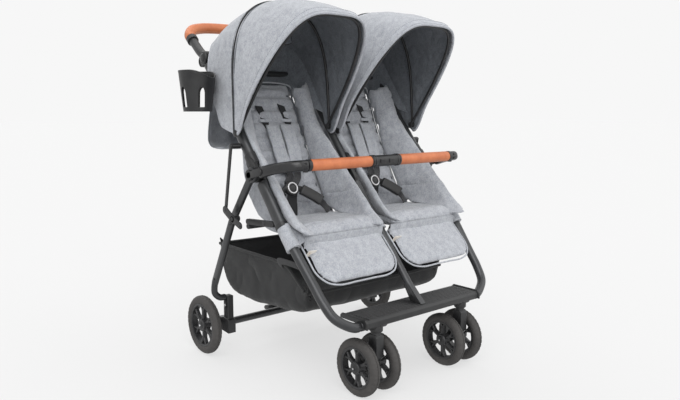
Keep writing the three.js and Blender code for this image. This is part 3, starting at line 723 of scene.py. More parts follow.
def handle():
    body, z0, y0 = "handle", HANDLE["z"], on_tubes(HANDLE["z"])
    gx, gy, gz = (HANDLE[f"grip_{axis}"] for axis in "xyz")
    bx, by, bz = (HANDLE[f"bar_{axis}"] for axis in "xyz")
    for side, s in SIDES:
        x, ear_y, ear_z = s * TUBE_X, y0 + 26, z0 - 8
        arm = tube([(x, y0, z0), (s * 319, 30, 897), (s * 315, 62, 917), (s * gx, gy, gz)], 13, 30, 32)
        hub = lathe([(0, 14), (17, 14), (20, 11), (20, -11), (17, -14), (0, -14)], (x, y0, z0), "x", 40)
        ear = lathe([(0, 8), (14.5, 8), (17, 6), (17, -6), (14.5, -8), (0, -8)],
                    (s * (TUBE_X - 6), ear_y, ear_z), "x", 40)
        piece(f"handle_arm_{side}_joint", combine(arm, hub, ear), PLASTIC, body, f"handle_arm_{side}", bevel=0.8)
        button = lathe([(0, 3.4), (8, 3.2), (11, 2.2), (12.5, 0.6), (12.5, -1), (0, -1)],
                       (s * (TUBE_X + 14), y0, z0), "x", 36, s)
        piece(f"handle_button_{side}", button, GLOSS, body)
        rim = lathe([(13.5, 1.4), (15.5, 1.8), (17, 0.8), (17, -0.6), (13.5, -0.6), (13.5, 1.4)],
                    (s * (TUBE_X + 1.6), ear_y, ear_z), "x", 36, s)
        piece(f"handle_ear_ring_{side}", rim, PLASTIC, body)
        collar = straight((s * 312.4, 86, 933.2), (s * 310.6, 100, 943.6), oval(17, 17, 32))
        piece(f"handle_collar_{side}", collar, PLASTIC, body, bevel=0.8)
    half = [(gx, gy + 1, gz + 0.6), (gx - 2, gy + 16.5, gz + 11.3), (gx - 22, by - 17, bz - 14),
            (bx + 25, by - 4, bz - 4), (bx - 30, by, bz)]
    route = smooth_route(half + [(0, by, bz)] + [(-x, y, z) for x, y, z in reversed(half)], 150)
    grip = sweep(route, oval(16, 16, 32), (1, 0, 0), lambda k: rounded_ends(k, 0.008, 0.9))
    piece("handle_grip_leather", grip, LEATHER, body, "handle_grip")
    # The seam runs along the underside, with a row of stitches on each side of it.
    route, under = route[2:-2], np.array((0, -0.55, -0.835))
    piece("handle_grip_seam", cord(route + under * 15.9, 0.9, 0.7, 8), LEATHER, body)
    for i, shift in enumerate((-3, 3)):
        offset = under * 15.8 + np.array((0, 0.835, -0.55)) * shift
        piece(f"handle_grip_stitches_{i + 1}", stitches(route + offset, 5, 3.4), TAN_THREAD, body)


def cup_holder():
    """A tapered cup on an arm: its rim dips at the front, and five arched windows run round it."""
    x, y, low, high = CUP["x"], CUP["y"], CUP["low"], CUP["high"]
    sides, rows, wall = 80, 20, 3.6

    def wall_point(angle, k, inset):
        r = CUP["r_low"] + (CUP["r_high"] - CUP["r_low"]) * k - inset
        dip = 20 * max(0.0, math.cos(angle + math.radians(62)) ** 3) * k**3
        return (x + r * math.cos(angle), y + r * math.sin(angle), low + (high - low) * k - dip)

    # Each profile goes up the outside and down the inside, from the middle of the base to its top.
    layers = [(0.0, k / rows) for k in range(rows + 1)] + [(wall, 1 - k / rows) for k in range(rows)] + [(wall, 0.035)]
    points = []
    for i in range(sides):
        points += [(x, y, low), *(wall_point(2 * math.pi * i / sides, k, inset) for inset, k in layers), (x, y, low + 4)]
    cup = piece("cup_holder_cup", tidy_shape(points, rings(points, sides)), PLASTIC)
    arch = [(9 * across, 36 + 18 * up) for across, up in arc(0, 0, 1, 15, 165, 10)]
    outline = [(-9, 0), (9, 0), (9, 36), *arch, (-9, 36)]
    windows = []
    for i in range(5):
        a = 2 * math.pi * i / 5 + 0.7
        ring = [(x + depth * math.cos(a) - across * math.sin(a), y + depth * math.sin(a) + across * math.cos(a),
                 low + 12 + up) for depth in (28, 60) for across, up in outline]
        windows.append((ring, slab(outline, 0, 1)[1]))
    cutter = piece("cutter", combine(*windows), PLASTIC)
    modify(cup, "BOOLEAN", object=cutter, operation="DIFFERENCE", solver="EXACT")
    modify(cup, "BEVEL", width=0.8 * MM, segments=2, limit_method="ANGLE", angle_limit=math.radians(40))
    bake(cup)
    bpy.data.objects.remove(cutter)
    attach(cup, "upper_frame")
    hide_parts("cup_holder")
    lip = [wall_point(2 * math.pi * i / 96, 1, wall / 2) for i in range(97)]
    piece("cup_holder_lip", sweep(lip, oval(2.6, 2.4, 12), (0, 0, 1), ends=False), PLASTIC, "upper_frame")
    tube_y = on_tubes(792)
    arm = straight((-356, tube_y - 4, 790), (-337, tube_y, 794), oval(12, 18, 32, 4), (0, 1, 0))
    clamp = oval_bar(-TUBE_X, 272, 308, 35, 42, 2.6)
    piece("cup_holder_arm", combine(arm, clamp), PLASTIC, "upper_frame", bevel=1.5)


# ------------------------------------------------------------------------------ wheels
def wheel(node, centre, size):
    """A foam tyre with a centre groove and side notches, on a rim with six split spokes."""
    x, y, z = centre
    r, half, rim, hub = size["r"], size["width"] / 2, size["rim"], size["hub"]
    body, steps = BODY_OF[node], 144

    def polar(radius, angle, h=0):
        return np.array((x + h, y + radius * math.cos(angle), z + radius * math.sin(angle)))

    profile = [(rim, -half + 5), (rim + 3, -half + 1.6), (r - 12, -half), (r - 6, -half + 1.6), (r - 1.6, -half + 6),
               (r - 0.2, -half + 9.5), (r, -2.2), (r - 1.6, -1.4)]
    profile += [(radius, -h) for radius, h in reversed(profile)]
    shoulders = (3, 4, 5, 10, 11, 12)
    points = [polar(radius - (1.1 if j in shoulders and i % 4 == 0 else 0), 2 * math.pi * i / steps, h)
              for i in range(steps) for j, (radius, h) in enumerate(profile)]
    piece(f"{node}_tyre", (points, rings(points, steps, True)), RUBBER, body, node, sharp=50)
    band = [(rim - 5, -half + 4), (rim - 2, -half + 2.4), (rim + 1.2, -half + 3), (rim + 1.2, half - 3),
            (rim - 2, half - 2.4), (rim - 5, half - 4), (rim - 5, -half + 4)]
    core = [(5.2, -half + 1), (hub - 2, -half + 1), (hub, -half + 3), (hub, half - 3), (hub - 2, half - 1),
            (5.2, half - 1), (5.2, -half + 1)]
    shapes = [lathe(band, centre, "x", 96), lathe(core, centre, "x", 48)]
    fork = hub + 0.45 * (rim - hub)
    for k in range(6):
        a = math.pi / 3 * k + math.pi / 6
        shapes.append(straight(polar(hub - 3, a), polar(fork + 3, a), oval(half - 6.5, 5, 20, 3.2)))
        for turn in (-0.17, 0.17):
            shapes.append(straight(polar(fork - 2, a), polar(rim - 3, a + turn), oval(half - 7.5, 3.6, 16, 3.2)))
    piece(f"{node}_rim", combine(*shapes), RIM, body)
    outer = 1 if node.endswith("left") else -1
    cap = [(0, 3.4), (7, 3.0), (10.5, 1.6), (12.5, 0), (12.5, -3), (0, -3)]
    piece(f"{node}_cap", lathe(cap, (x + outer * (half - 1), y, z), "x", 40, outer), PLASTIC, body)
    bolt = [(0, 1.6), (2.6, 1.4), (3.6, 0.4), (3.6, -1), (0, -1)]
    piece(f"{node}_bolt", lathe(bolt, (x + outer * (half + 2.6), y, z), "x", 6, outer), STEEL, body)


def wheels():
    for side, s in SIDES:
        x, fork = s * CASTER["x"], f"caster_fork_{side}"
        refine(fork, PLASTIC, 3)
        cap = lathe([(0, 4), (8, 3.4), (12.5, 1.6), (14, -1), (0, -1)], (x, CASTER["stem_y"], 172), "z", 36)
        piece(f"caster_cap_{side}", cap, PLASTIC, BODY_OF[fork])
        for k, end in SIDES:
            wheel(f"front_wheel_{side}_{k}", (x + end * CASTER["offset"], CASTER["axle_y"], CASTER["r"]), CASTER)
        wheel(f"rear_wheel_{side}", (s * REAR_WHEEL["x"], REAR_WHEEL["y"], REAR_WHEEL["r"]), REAR_WHEEL)


# --------------------------------------------------------------- bumper bar and buckles
def bumper():
    body, y, z, r = "bumper_bar", BUMPER["y"], BUMPER["z"], BUMPER["r"]
    grip, clip = BUMPER["grip"], BUMPER["clip"]

    def swell(k):
        k = max(k, 0.002)
        tip = math.sqrt(max(0.0, 1 - (1 - k / 0.09) ** 2)) if k < 0.09 else 1.0
        return tip * (1 + 0.16 * math.sin(math.pi * k)), tip * (1.12 - 0.08 * k)

    for side, s in SIDES:
        arm = smooth_route([(s * 339, FOLD_Y - 30, FOLD_Z + 6), (s * 337, FOLD_Y - 54, FOLD_Z + 13),
                            (s * 330, FOLD_Y - 86, FOLD_Z + 21), (s * 314, y + 23, z - 3), (s * (grip + 32), y + 2, z),
                            (s * (grip + 1), y, z)], 60)
        sleeve = sweep(arm, oval(12, 13.5, 32, 2.4), (1, 0.2, 0), swell)
        piece(f"bumper_arm_{side}_sleeve", sleeve, GLOSS, body, f"bumper_arm_{side}")
        x = sorted((s * 346.4, s * 354))
        hub = combine(eye(*x, 15), link((FOLD_Y, FOLD_Z), (FOLD_Y - 50, FOLD_Z + 12), 10, *x))
        piece(f"bumper_arm_{side}_hub", hub, PLASTIC, body, bevel=2.5)
        end = bar_x(s * (grip + 9), s * (grip - 1), y, z, 15.6, 36)
        piece(f"bumper_end_ring_{side}", end, PLASTIC, body, bevel=1)
        for i, (dy, dz) in enumerate(((-12.4, 6), (-13.6, -5))):
            slot = straight((s * (grip + 17), y + dy, z + dz), (s * (grip + 27), y + dy + 2.5, z + dz - 0.6),
                            oval(3.2, 1.6, 14, 4), (0, 0, 1))
            piece(f"bumper_slot_{side}_{i + 1}", slot, WEBBING, body)
        wrap = sweep([(s * (clip + (grip - clip) * k / 40), y, z) for k in range(41)], oval(r, r, 40), (0, 1, 0),
                     lambda k: (1 + 0.02 * math.sin(math.pi * k)) * rounded_ends(k, 0.02, 0.94))
        piece(f"bumper_grip_{side}_leather", wrap, LEATHER, body, f"bumper_grip_{side}")
        for i, angle in enumerate((-1.0, -0.72)):
            row = [(s * (clip + 3 + (grip - clip - 6) * k / 60), y - 1.02 * r * math.cos(angle - 2.2),
                    z + 1.02 * r * math.sin(angle - 1.2)) for k in range(61)]
            piece(f"bumper_stitches_{side}_{i + 1}", stitches(row, 5, 3.4), TAN_THREAD, body)
        button = straight((s * 277, y - 4, z - 14.4), (s * 277, y + 4, z - 14.4), oval(6, 3, 20, 4), (1, 0, 0))
        name = f"bumper_button_{side}"
        piece(f"{name}_cap", button, PLASTIC, name, name, bevel=0.6)
    middle = sweep([(clip * (2 * k / 24 - 1), y, z) for k in range(25)], oval(r + 0.6, r + 0.6, 36, 2.3), (0, 1, 0))
    piece("bumper_clip_body", middle, PLASTIC, body, "bumper_clip", bevel=0.8)
    profile = [(r - 1, -2.6), (r + 1.6, -2.6), (r + 2.2, -1.6), (r + 2.2, 1.6), (r + 1.6, 2.6), (r - 1, 2.6),
               (r - 1, -2.6)]
    for i, x in enumerate((-50, -42, 42, 50)):
        piece(f"bumper_clip_ring_{i + 1}", lathe(profile, (x, y, z), "x", 40), GLOSS, body)
    for i, x in enumerate((-20, 14)):
        plate = straight((x - 9, y - r - 0.6, z), (x + 9, y - r - 0.6, z), oval(6, 1.8, 20, 5), (0, 0, 1))
        piece(f"bumper_clip_plate_{i + 1}", plate, GLOSS, body)


def leaned(profile, centre, sides=48):
    """A lathed shape about the Y axis, with its face towards -Y, turned to lean back with the seat."""
    c, s = math.cos(math.radians(-22)), math.sin(math.radians(-22))
    points, faces = lathe(profile, axis="y", sides=sides)
    return [(centre[0] + x, centre[1] + y * c - z * s, centre[2] + y * s + z * c) for x, y, z in points], faces


def buckles():
    body = "front_frame"
    disc = [(12.2, -6.5), (19, -6.8), (21.6, -4.5), (22, 0), (21.6, 5.5), (19, 7), (0, 7), (0, 3.5), (12.2, 3.5),
            (12.2, -6.5)]
    ring = [(13, -6.2), (13, -8), (14.2, -8.6), (15.6, -8.6), (16.6, -8), (16.6, -6.2), (13, -6.2)]
    button = [(0, -8.6), (7.5, -8.2), (10.4, -7), (11.2, -5), (11.2, -3), (0, -3)]
    for side, s in SIDES:
        cx = s * SEAT_X
        x, y, z = centre = (cx + BUCKLE["dx"], BUCKLE["y"], BUCKLE["z"])
        piece(f"buckle_{side}_disc", leaned(disc, centre), PLASTIC, body, f"buckle_{side}")
        piece(f"buckle_ring_{side}", leaned(ring, centre), STEEL, body)
        name = f"buckle_button_{side}"
        piece(f"{name}_cap", leaned(button, centre, 40), PLASTIC, name, name)
        crotch = strap([(x, -250, 434), (x, -250, 458), (x, -248, 480), (x, -250, 496)], 34, 3)
        piece(f"crotch_strap_{side}", crotch, WEBBING, body)
        # Side prongs, and the adjusters that the waist straps run through.
        for k, name in ((-1, "a"), (1, "b")):
            prong = [(x + k * 14, y + 2, z), (x + k * 28, y - 1, z - 3), (x + k * 37, y - 5, z - 9)]
            piece(f"buckle_prong_{side}_{name}", strap(prong, 17, 8, (0, 0, 1), 12), PLASTIC, body, bevel=1.5)
        adjuster = strap([(x + 30, -252, 508), (x + 54, -266, 493), (x + 80, -280, 474)], 29, 21, (0, 0.2, 1), 14)
        piece(f"waist_adjuster_{side}", adjuster, PLASTIC, body, bevel=2)
        waist = [(x + 60, -272, 490), (x + 88, -280, 464), (x + 112, -268, 446), (cx + 96, -246, 438)]
        piece(f"waist_strap_{side}_a", strap(waist, 25, 2.4, (0, 0.5, 1)), WEBBING, body)
        waist = [(x - 34, -250, 504), (x - 50, -248, 480), (cx - 98, -242, 452), (cx - 108, -234, 440)]
        piece(f"waist_strap_{side}_b", strap(waist, 25, 2.4, (0, 0.4, 1)), WEBBING, body)


# ---------------------------------------------------------------------------- canopies
def arch_point(cx, shape, t, inset=0.0, lobe=0.0, wrap=0.0):
    """A point of a canopy arch, in direction t from 0 at one foot to pi at the other. lobe and
    wrap, from 0 to 1, add the round end at the foot and the turned-back rear edge."""
    c, s = math.cos(t), max(math.sin(t), 0.0)
    low, high = 0.5, 1.5
    for _ in range(22):
        reach = (low + high) / 2
        past = abs(reach * c) ** shape["nx"] + (reach * s) ** shape["nh"] > 1
        low, high = (low, reach) if past else (reach, high)
    x = -(CANOPY["half"] - inset) * low * c
    h = (shape["r"] - inset) * low * s
    front, mid, rear = (ARCHES[name]["angle"] for name in ("front", "mid", "rear"))
    angle = shape["angle"]
    if wrap and x * cx > 0:
        share = min(max((angle - mid) / (rear - mid), 0.0), 1.0)
        angle += wrap * share**2 * float(np.interp(h, *zip(*REAR_WRAP)))
    a = math.radians(angle)
    share = (shape["angle"] - front) / (rear - front)
    turn = math.radians(LOBE["front"] + (LOBE["rear"] - LOBE["front"]) * share)
    r = lobe * LOBE["r"] * math.exp(-((h / LOBE["fade"]) ** 2))
    return np.array((cx + x, CANOPY["y"] - h * math.cos(a) - r * math.cos(turn),
                     CANOPY["z"] + h * math.sin(a) + r * math.sin(turn)))


def between(a, b, k):
    return {key: a[key] + (b[key] - a[key]) * k for key in a}


def turned(shape, degrees):
    return {**shape, "angle": shape["angle"] + degrees}


def foot_to_foot(u):
    """Directions along an arch for shares u from 0 to 1, closer together near the feet."""
    return math.pi * u - 0.3 * math.sin(2 * math.pi * u)


def canopy_sheet(cx, a, b, inset, sag, nk):
    """The cloth between two arches, drawn in between them as tight cloth is."""
    def point(u, k):
        t = foot_to_foot(u)
        pull = sag * math.sin(math.pi * k) * (0.35 + 0.65 * math.sin(t) ** 2) * min(1.0, 4 * math.sin(t))
        return arch_point(cx, between(a, b, k), t, inset + pull, 1.0, 1.0)
    return grid(point, 110, nk)


def arch_route(cx, shape, inset, n=110, low=0.0, lobe=1.0):
    shares = [low + (1 - 2 * low) * i / n for i in range(n + 1)]
    return np.array([arch_point(cx, shape, foot_to_foot(u), inset, lobe, lobe) for u in shares])


def edge_route(cx, shape, inset):
    """The free edge of a canopy panel, with half of the round at each foot."""
    halfway = (ARCHES["front"]["angle"] + ARCHES["rear"]["angle"]) / 2
    turn = [{**shape, "angle": angle} for angle in np.linspace(halfway, shape["angle"], 9)[:-1]]
    start = [arch_point(cx, one, 0.0, inset, 1.0, 1.0) for one in turn]
    end = [arch_point(cx, one, math.pi, inset, 1.0, 1.0) for one in reversed(turn)]
    return np.array(start + list(arch_route(cx, shape, inset)) + end)


def strip(cx, shape, inset, width_deg):
    """A narrow band of the canopy surface, width_deg wide about an arch."""
    return grid(lambda u, k: arch_point(cx, turned(shape, width_deg * (k - 0.5)), foot_to_foot(u), inset, 1.0, 1.0),
                100, 4)


def canopies():
    front, mid, rear = (ARCHES[name] for name in ("front", "mid", "rear"))
    foot_y, foot_z = CANOPY["y"], CANOPY["z"]
    panels = (  # panel, layer, its two arches, inset, sag, rows, material, thickness, folds and their change by seat, cut
        ("front", "cloth", front, mid, 0.8, 7, 28, HEATHER, 1.6, 70, 2.6, 0, 40, 0.98),
        # The lining layers are the inner face of the canopy cloth, drawn in the darker copy of the heather as painted
        # shade.
        ("front", "lining", between(front, mid, 0.02), mid, 5.2, 10, 28, SHADED_HEATHER, 1.0, 46, 5.0, 13, 31, 0.96),
        ("rear", "cloth", mid, rear, 0.8, 5, 18, HEATHER, 1.6, 70, 2.2, 90, 40, 0.98),
        ("rear", "lining", mid, rear, 5.2, 7, 16, SHADED_HEATHER, 1.0, 50, 3.6, 57, 23, 0.96),
    )
    for seat, (side, s) in enumerate(SIDES):
        cx = s * CANOPY["x"]
        mid_body, front_body, fixed = f"canopy_mid_{side}", f"canopy_front_{side}", "upper_frame"
        for panel, layer, a, b, inset, sag, rows, material, thick, size, depth, seed, change, cut in panels:
            node = f"canopy_{panel}_{side}"
            sheet = piece(f"{node}_{layer}", canopy_sheet(cx, a, b, inset, sag, rows), material,
                          replaces=node if layer == "cloth" else "", thick=thick)
            wrinkle(sheet, size, depth, seed + change * seat)
            declare_sheet(sheet, cut, "stretched", f"canopy_mid_bow_{side}")
            if panel == "front":
                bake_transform(sheet)
            else:
                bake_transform(sheet)
        # Binding along the front edge, and the zip with its two stitched seams at the middle bow.
        rim = sweep(edge_route(cx, front, 2.4), oval(4.2, 3.6, 16, 2.4), (0, 1, 0))
        piece(f"canopy_rim_{side}", rim, TRIM, front_body)
        piece(f"canopy_hem_{side}", strip(cx, turned(front, 1.9), -0.4, 2.6), TRIM, front_body, thick=0.8)
        hem_line = arch_route(cx, turned(front, 2.9), -1.0)
        piece(f"canopy_hem_stitches_{side}", stitches(hem_line, 5, 3.4, 0.5), DARK_THREAD_AND_SHADE, front_body)
        piece(f"canopy_zip_{side}", strip(cx, mid, -1.6, 1.15), WEBBING, mid_body, thick=1.6)
        teeth = cord(arch_route(cx, mid, -2.6), 1.5, 1.0, 10, (1, 0, 0))
        piece(f"canopy_zip_teeth_{side}", teeth, GLOSS, mid_body)
        for i, shift in enumerate((-2.3, 2.3)):
            seam = cord(arch_route(cx, turned(mid, shift), -0.9), 1.1, 0.8, 8, (1, 0, 0))
            piece(f"canopy_seam_{side}_{i + 1}", seam, DARK_THREAD_AND_SHADE, mid_body)
        piece(f"canopy_rear_hem_{side}", cord(edge_route(cx, rear, 1.5), 3.0, 2.6, 12), TRIM, fixed)
        for name, shape, foot in (("mid", mid, 159), ("front", turned(front, 1), 150)):
            inset = 11.5
            route = arch_route(cx, shape, inset, 90, 0.07, 0.0)
            route[:, 0] = cx + (route[:, 0] - cx) * foot / (CANOPY["half"] - inset)
            route = smooth_route([(cx - foot, foot_y, foot_z), *route[::3], (cx + foot, foot_y, foot_z)], 110)
            eyelet = [(0, -2.4), (7.5, -2.4), (8.5, -1.6), (8.5, 1.6), (7.5, 2.4), (0, 2.4)]
            eyes = [lathe(eyelet, (cx + k * foot, foot_y, foot_z), "x", 32) for k in (-1, 1)]
            node = f"canopy_{name}_bow_{side}"
            bow = combine(cord(route, 4, 4, 14, (0, 0.3, 1)), *eyes)
            piece(f"{node}_wire", bow, PLASTIC, f"canopy_{name}_{side}", node)
        # The hinge caps show below the round ends of the cloth.
        for k, end in SIDES:
            cap = lathe([(0, 3), (6, 2.7), (8.6, 1.4), (9.4, -3), (0, -3)],
                        (cx + end * CANOPY["half"], foot_y - 1, foot_z - 14), "x", 32, end)
            piece(f"canopy_hinge_cap_{side}_{k}", cap, PLASTIC, fixed)
        canopy_inside(side, cx)


def canopy_inside(side, cx):
    """The back curtain between the rear arch and the backrest, and the flap that hangs from the middle bow."""
    rear, mid = turned(ARCHES["rear"], -1.5), turned(ARCHES["mid"], 6)

    def curtain(u, k):
        top = arch_point(cx, rear, 0.16 + (math.pi - 0.32) * u, 7)
        foot = np.array((cx + (top[0] - cx) * 0.62, -72 + 10 * math.cos(3 * math.pi * u), 786))
        # It gathers towards its foot, in soft upright folds.
        fold = 12 * math.sin(9 * math.pi * u) * k * (1 - k)
        p = top + (foot - top) * k
        return (p[0], p[1] + fold + 20 * math.sin(math.pi * k), p[2])

    # The inside layer takes the darker copy of the heather as painted shade.
    for layer, material, shift in (("inside", SHADED_HEATHER, 0.0), ("outside", HEATHER, 3.0)):
        shape = moved(grid(curtain, 60, 26), dy=shift)
        sheet = piece(f"canopy_curtain_{side}_{layer}", shape, material, "upper_frame", thick=1.0)
        declare_sheet(wrinkle(sheet, 60, 3, 5), 0.72, "gathered", "upper_cross_tube_bar")

    def flap(u, k):
        top = arch_point(cx, mid, math.radians(62 + 46 * u), 18)
        corner = 1 - 0.16 * abs(2 * u - 1) ** 4
        return (top[0], top[1] - 14 * k + 4 * math.sin(5 * u) * k, top[2] - 92 * k * corner)

    body = f"canopy_mid_{side}"
    # The flap is drawn in the darker copy of the heather as painted shade.
    sheet = piece(f"canopy_flap_{side}", grid(flap, 36, 24), SHADED_HEATHER, body, thick=1.4)
    declare_sheet(wrinkle(sheet, 40, 2, 3), 0.26, "hung", f"canopy_mid_bow_{side}_wire")
    hem = [flap(0, k / 12) for k in range(13)] + [flap(u / 24, 1) for u in range(25)]
    hem += [flap(1, 1 - k / 12) for k in range(13)]
    piece(f"canopy_flap_piping_{side}", cord(smooth_route(hem, 80), 1.3, 1.3, 8), WEBBING, body)


# ------------------------------------------------------------------------------- seats
# The middle line of a backrest: (z, y, half width) from its foot to its top.
BACK = [(438, -225, 124), (500, -185, 120), (570, -148, 116), (640, -116, 110), (700, -95, 104), (760, -82, 94),
        (812, -76, 74)]
CHANNELS = (772, 734, 697, 660, 622, 585, 547, 510)  # heights of the sewn channels of a backrest
# The edges of a side wing: (share of its length, outer offset, y, z, inner offset, y, z).
WING = [(0.0, 132, -85, 818, 76, -84, 806), (0.2, 133, -124, 738, 94, -96, 736),
        (0.36, 134, -171, 679, 101, -113, 670), (0.56, 134, -247, 604, 104, -147, 588),
        (0.72, 134, -320, 532, 101, -187, 512), (0.86, 134, -389, 463, 102, -229, 446),
        (1.0, 132, -438, 420, 106, -410, 428)]
WING_BOW = 30  # how far a wing stands proud of the line between its edges
PAD_LINE = [(-426, 414), (-400, 418), (-360, 417), (-300, 416), (-228, 415)]  # side view of a seat cushion


def back_cover():
    """The quilted cushion of the right backrest, with sewn channels across it."""
    cx = -SEAT_X

    def surface(u, v):
        z = 440 + 370 * v
        y, half = curve_value(BACK, z)
        return (half * (2 * u - 1), y, z)

    def channels(p, normal):
        if normal.y > -0.2:
            return 0.0
        edge = max(0.0, 1 - ((p.x - cx) / 104) ** 8)
        return edge * min(1.0, sum(groove(p.z, level, 6.5) for level in CHANNELS))

    shape = pad(surface, lambda u, v: 9.5 + 3.0 * math.sin(math.pi * v), 34, 60)
    cover = inflate(piece("seat_back_right_cover", moved(shape, cx), HEATHER), 8, 6)
    return wrinkle(crease(cover, channels, 7), 34, 1.1)


def backs():
    """Quilted backrests with piping, seam threads that also paint the shade in the channels, painted shadow lines along
    the wings' inner edges, and a board behind.
    """
    for side, s in SIDES:
        cx, body = s * SEAT_X, f"seat_back_{side}"
        made = back_cover() if side == "right" else copy_of(made, f"{body}_cover", 2 * SEAT_X)
        cushion(made, body, body)
        edge = [(z, *curve_value(BACK, z)) for z in (446 + 356 * k / 60 for k in range(61))]
        route = [(cx - h + 1, y - 3, z) for z, y, h in edge] + [(cx - 46, -79, 813), (cx + 46, -79, 813)]
        route += [(cx + h - 1, y - 3, z) for z, y, h in reversed(edge)]
        piping = cord(smooth_route(route[::3] + [route[-1]], 150), 2)
        piece(f"seat_back_piping_{side}", piping, HEATHER, body)
        # The channel cords are drawn wide and dark: partly the sewn seam, partly painted shade in each channel.
        for i, z in enumerate(CHANNELS):
            y, half = curve_value(BACK, z)
            y -= 3.6 + 3.0 * math.sin(math.pi * (z - 440) / 370)
            row = [(cx + (half - 22) * (k / 12 - 1), y, z) for k in range(25)]
            piece(f"seat_back_seam_shade_{side}_{i + 1}", cord(row, 1.7, 1.5, 8, (0, 0, 1)), DARK_THREAD_AND_SHADE, body)
        # A dark cord along the inner edge of each wing paints the shadow where the wing stands over the backrest.
        for k, end in SIDES:
            inner = [wing_edges(v)[3::2] for v in np.linspace(0.02, 0.82, 60)]
            row = [(cx + end * (x - 10), curve_value(BACK, z)[0] - 10.5, z) for x, z in inner]
            piece(f"seat_back_groove_{side}_{k}", cord(row, 2.6), DARK_THREAD_AND_SHADE, body)
        board = slab([(curve_value(BACK, z)[0] + 12.5, z) for z in range(450, 800, 25)]
                     + [(curve_value(BACK, z)[0] + 15.5, z) for z in range(775, 430, -25)], cx - 84, cx + 84)
        # The board is drawn in the darker copy of the heather as painted shade.
        piece(f"seat_back_board_{side}", board, SHADED_HEATHER, body, bevel=1.2)


def pad_cover():
    """The right seat cushion, with a rolled front edge and a seam behind the roll."""
    cx = -SEAT_X

    def surface(u, v):
        y = -430 + 206 * v
        return (134 * (2 * u - 1), y, np.interp(y, *zip(*PAD_LINE)))

    def seams(p, normal):
        if normal.z < 0.1:
            return 0.0
        line = -398 + 5 * math.cos((p.x - cx) / 42)
        rest = 0.45 * (groove(p.y, -352, 7) + groove(p.y, -300, 8)) * max(0.0, 1 - ((p.x - cx) / 96) ** 6)
        return min(1.0, groove(p.y, line, 3.6) + rest)

    shape = pad(surface, lambda u, v: 15 + 3 * math.exp(-((v - 0.08) / 0.09) ** 2), 40, 40)
    cover = inflate(piece("seat_pad_right_cover", moved(shape, cx), HEATHER), 8, 6)
    return wrinkle(crease(cover, seams, 5), 40, 1.6, 17)


def seat_pads():
    for side, s in SIDES:
        cx, body, node = s * SEAT_X, "front_frame", f"seat_pad_{side}"
        made = pad_cover() if side == "right" else copy_of(made, f"{node}_cover", 2 * SEAT_X)
        cushion(made, body, node)
        row = [(cx + x, -405 + 5 * math.cos(x / 42), 437 - 0.0007 * x * x) for x in range(-120, 121, 4)]
        piece(f"seat_roll_stitches_{side}", stitches(row, 5, 3.4, 0.5), DARK_THREAD_AND_SHADE, body)


def wing_edges(v):
    return curve_value(WING, v)


def wing_shape(start, end, rows):
    """Part of the left wing of a seat centred on x = 0, between two shares of its length."""
    def surface(u, v):
        ox, oy, oz, ix, iy, iz = wing_edges(start + (end - start) * v)
        inner, outer = np.array((ix - 8, iy + 4, iz)), np.array((ox, oy, oz))
        p = inner + (outer - inner) * u
        # It rises steeply from the backrest and then slopes out to the tube.
        bow = WING_BOW * math.sin(math.pi * u**0.6)
        return (p[0] + 0.15 * bow, p[1] - bow, p[2] - 0.25 * bow)

    return pad(surface, lambda u, v: 5.0 + 3.4 * u**3, 26, rows, 2.2, 10)


def wings():
    """Soft side walls of a seat, from the edge of the backrest out to the frame tubes."""
    for part, start, end, rows in (("upper", 0.0, 0.80, 64), ("lower", 0.74, 1.0, 34)):
        first = inflate(piece(f"wing_{part}", wing_shape(start, end, rows), HEATHER), 7, 4)
        for side, s in SIDES:
            cx = s * SEAT_X
            for k, out in SIDES:
                name = f"seat_wing_{side}_{k}_{part}"
                wing = copy_of(first, name, cx) if out > 0 else copy_of(first, name, mirror_at=cx / 2)
                if out == s:
                    # An outboard wing reaches on, in front of its side tube.
                    for v in wing.data.vertices:
                        share = min(max((abs((v.co.x - ORIGIN.x) / MM - cx) - 100) / 34, 0.0), 1.0)
                        v.co += Vector((s * 17, -20, 0)) * (share * MM)
                wrinkle(wing, 55, 2.6, 11 * out + 3 * s)
                if part == "upper":
                    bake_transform(wing)
                else:
                    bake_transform(wing)
        bpy.data.objects.remove(first)


def gussets():
    """Cloth that closes the gap from the cushion's rear edge up to the backrest, and the outer skirts."""
    for side, s in SIDES:
        cx = s * SEAT_X

        def hinge_cloth(u, v):
            return (cx + 118 * (2 * u - 1), -246 + 28 * v + 5 * math.sin(math.pi * v), 424 + 44 * v)

        sheet = wrinkle(piece(f"seat_gusset_{side}", grid(hinge_cloth, 30, 14), HEATHER, thick=1.6), 30, 1.4)
        declare_sheet(sheet, 0.24, "gathered", f"seat_pad_{side}_cover")
        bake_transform(sheet)
        for k, end in SIDES:
            x = cx + end * (142 if end == s else 139)

            def skirt(u, v):
                z = 632 - 222 * v
                front = on_tubes(z) + 17
                behind = np.interp(z, [405, 450, 500, 560, 632], [-345, -232, -186, -160, -156])
                y = front + (max(behind, front + 2) - front) * u
                return (x - end * 3.5 * math.sin(math.pi * u), y, z - 4 * u)

            sheet = wrinkle(piece(f"seat_skirt_{side}_{k}", grid(skirt, 24, 44), HEATHER, thick=1.4), 42, 1.8, 21 * end)
            declare_sheet(sheet, 0.16, "hung", f"lower_tube_{k}_outer")
            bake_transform(sheet)


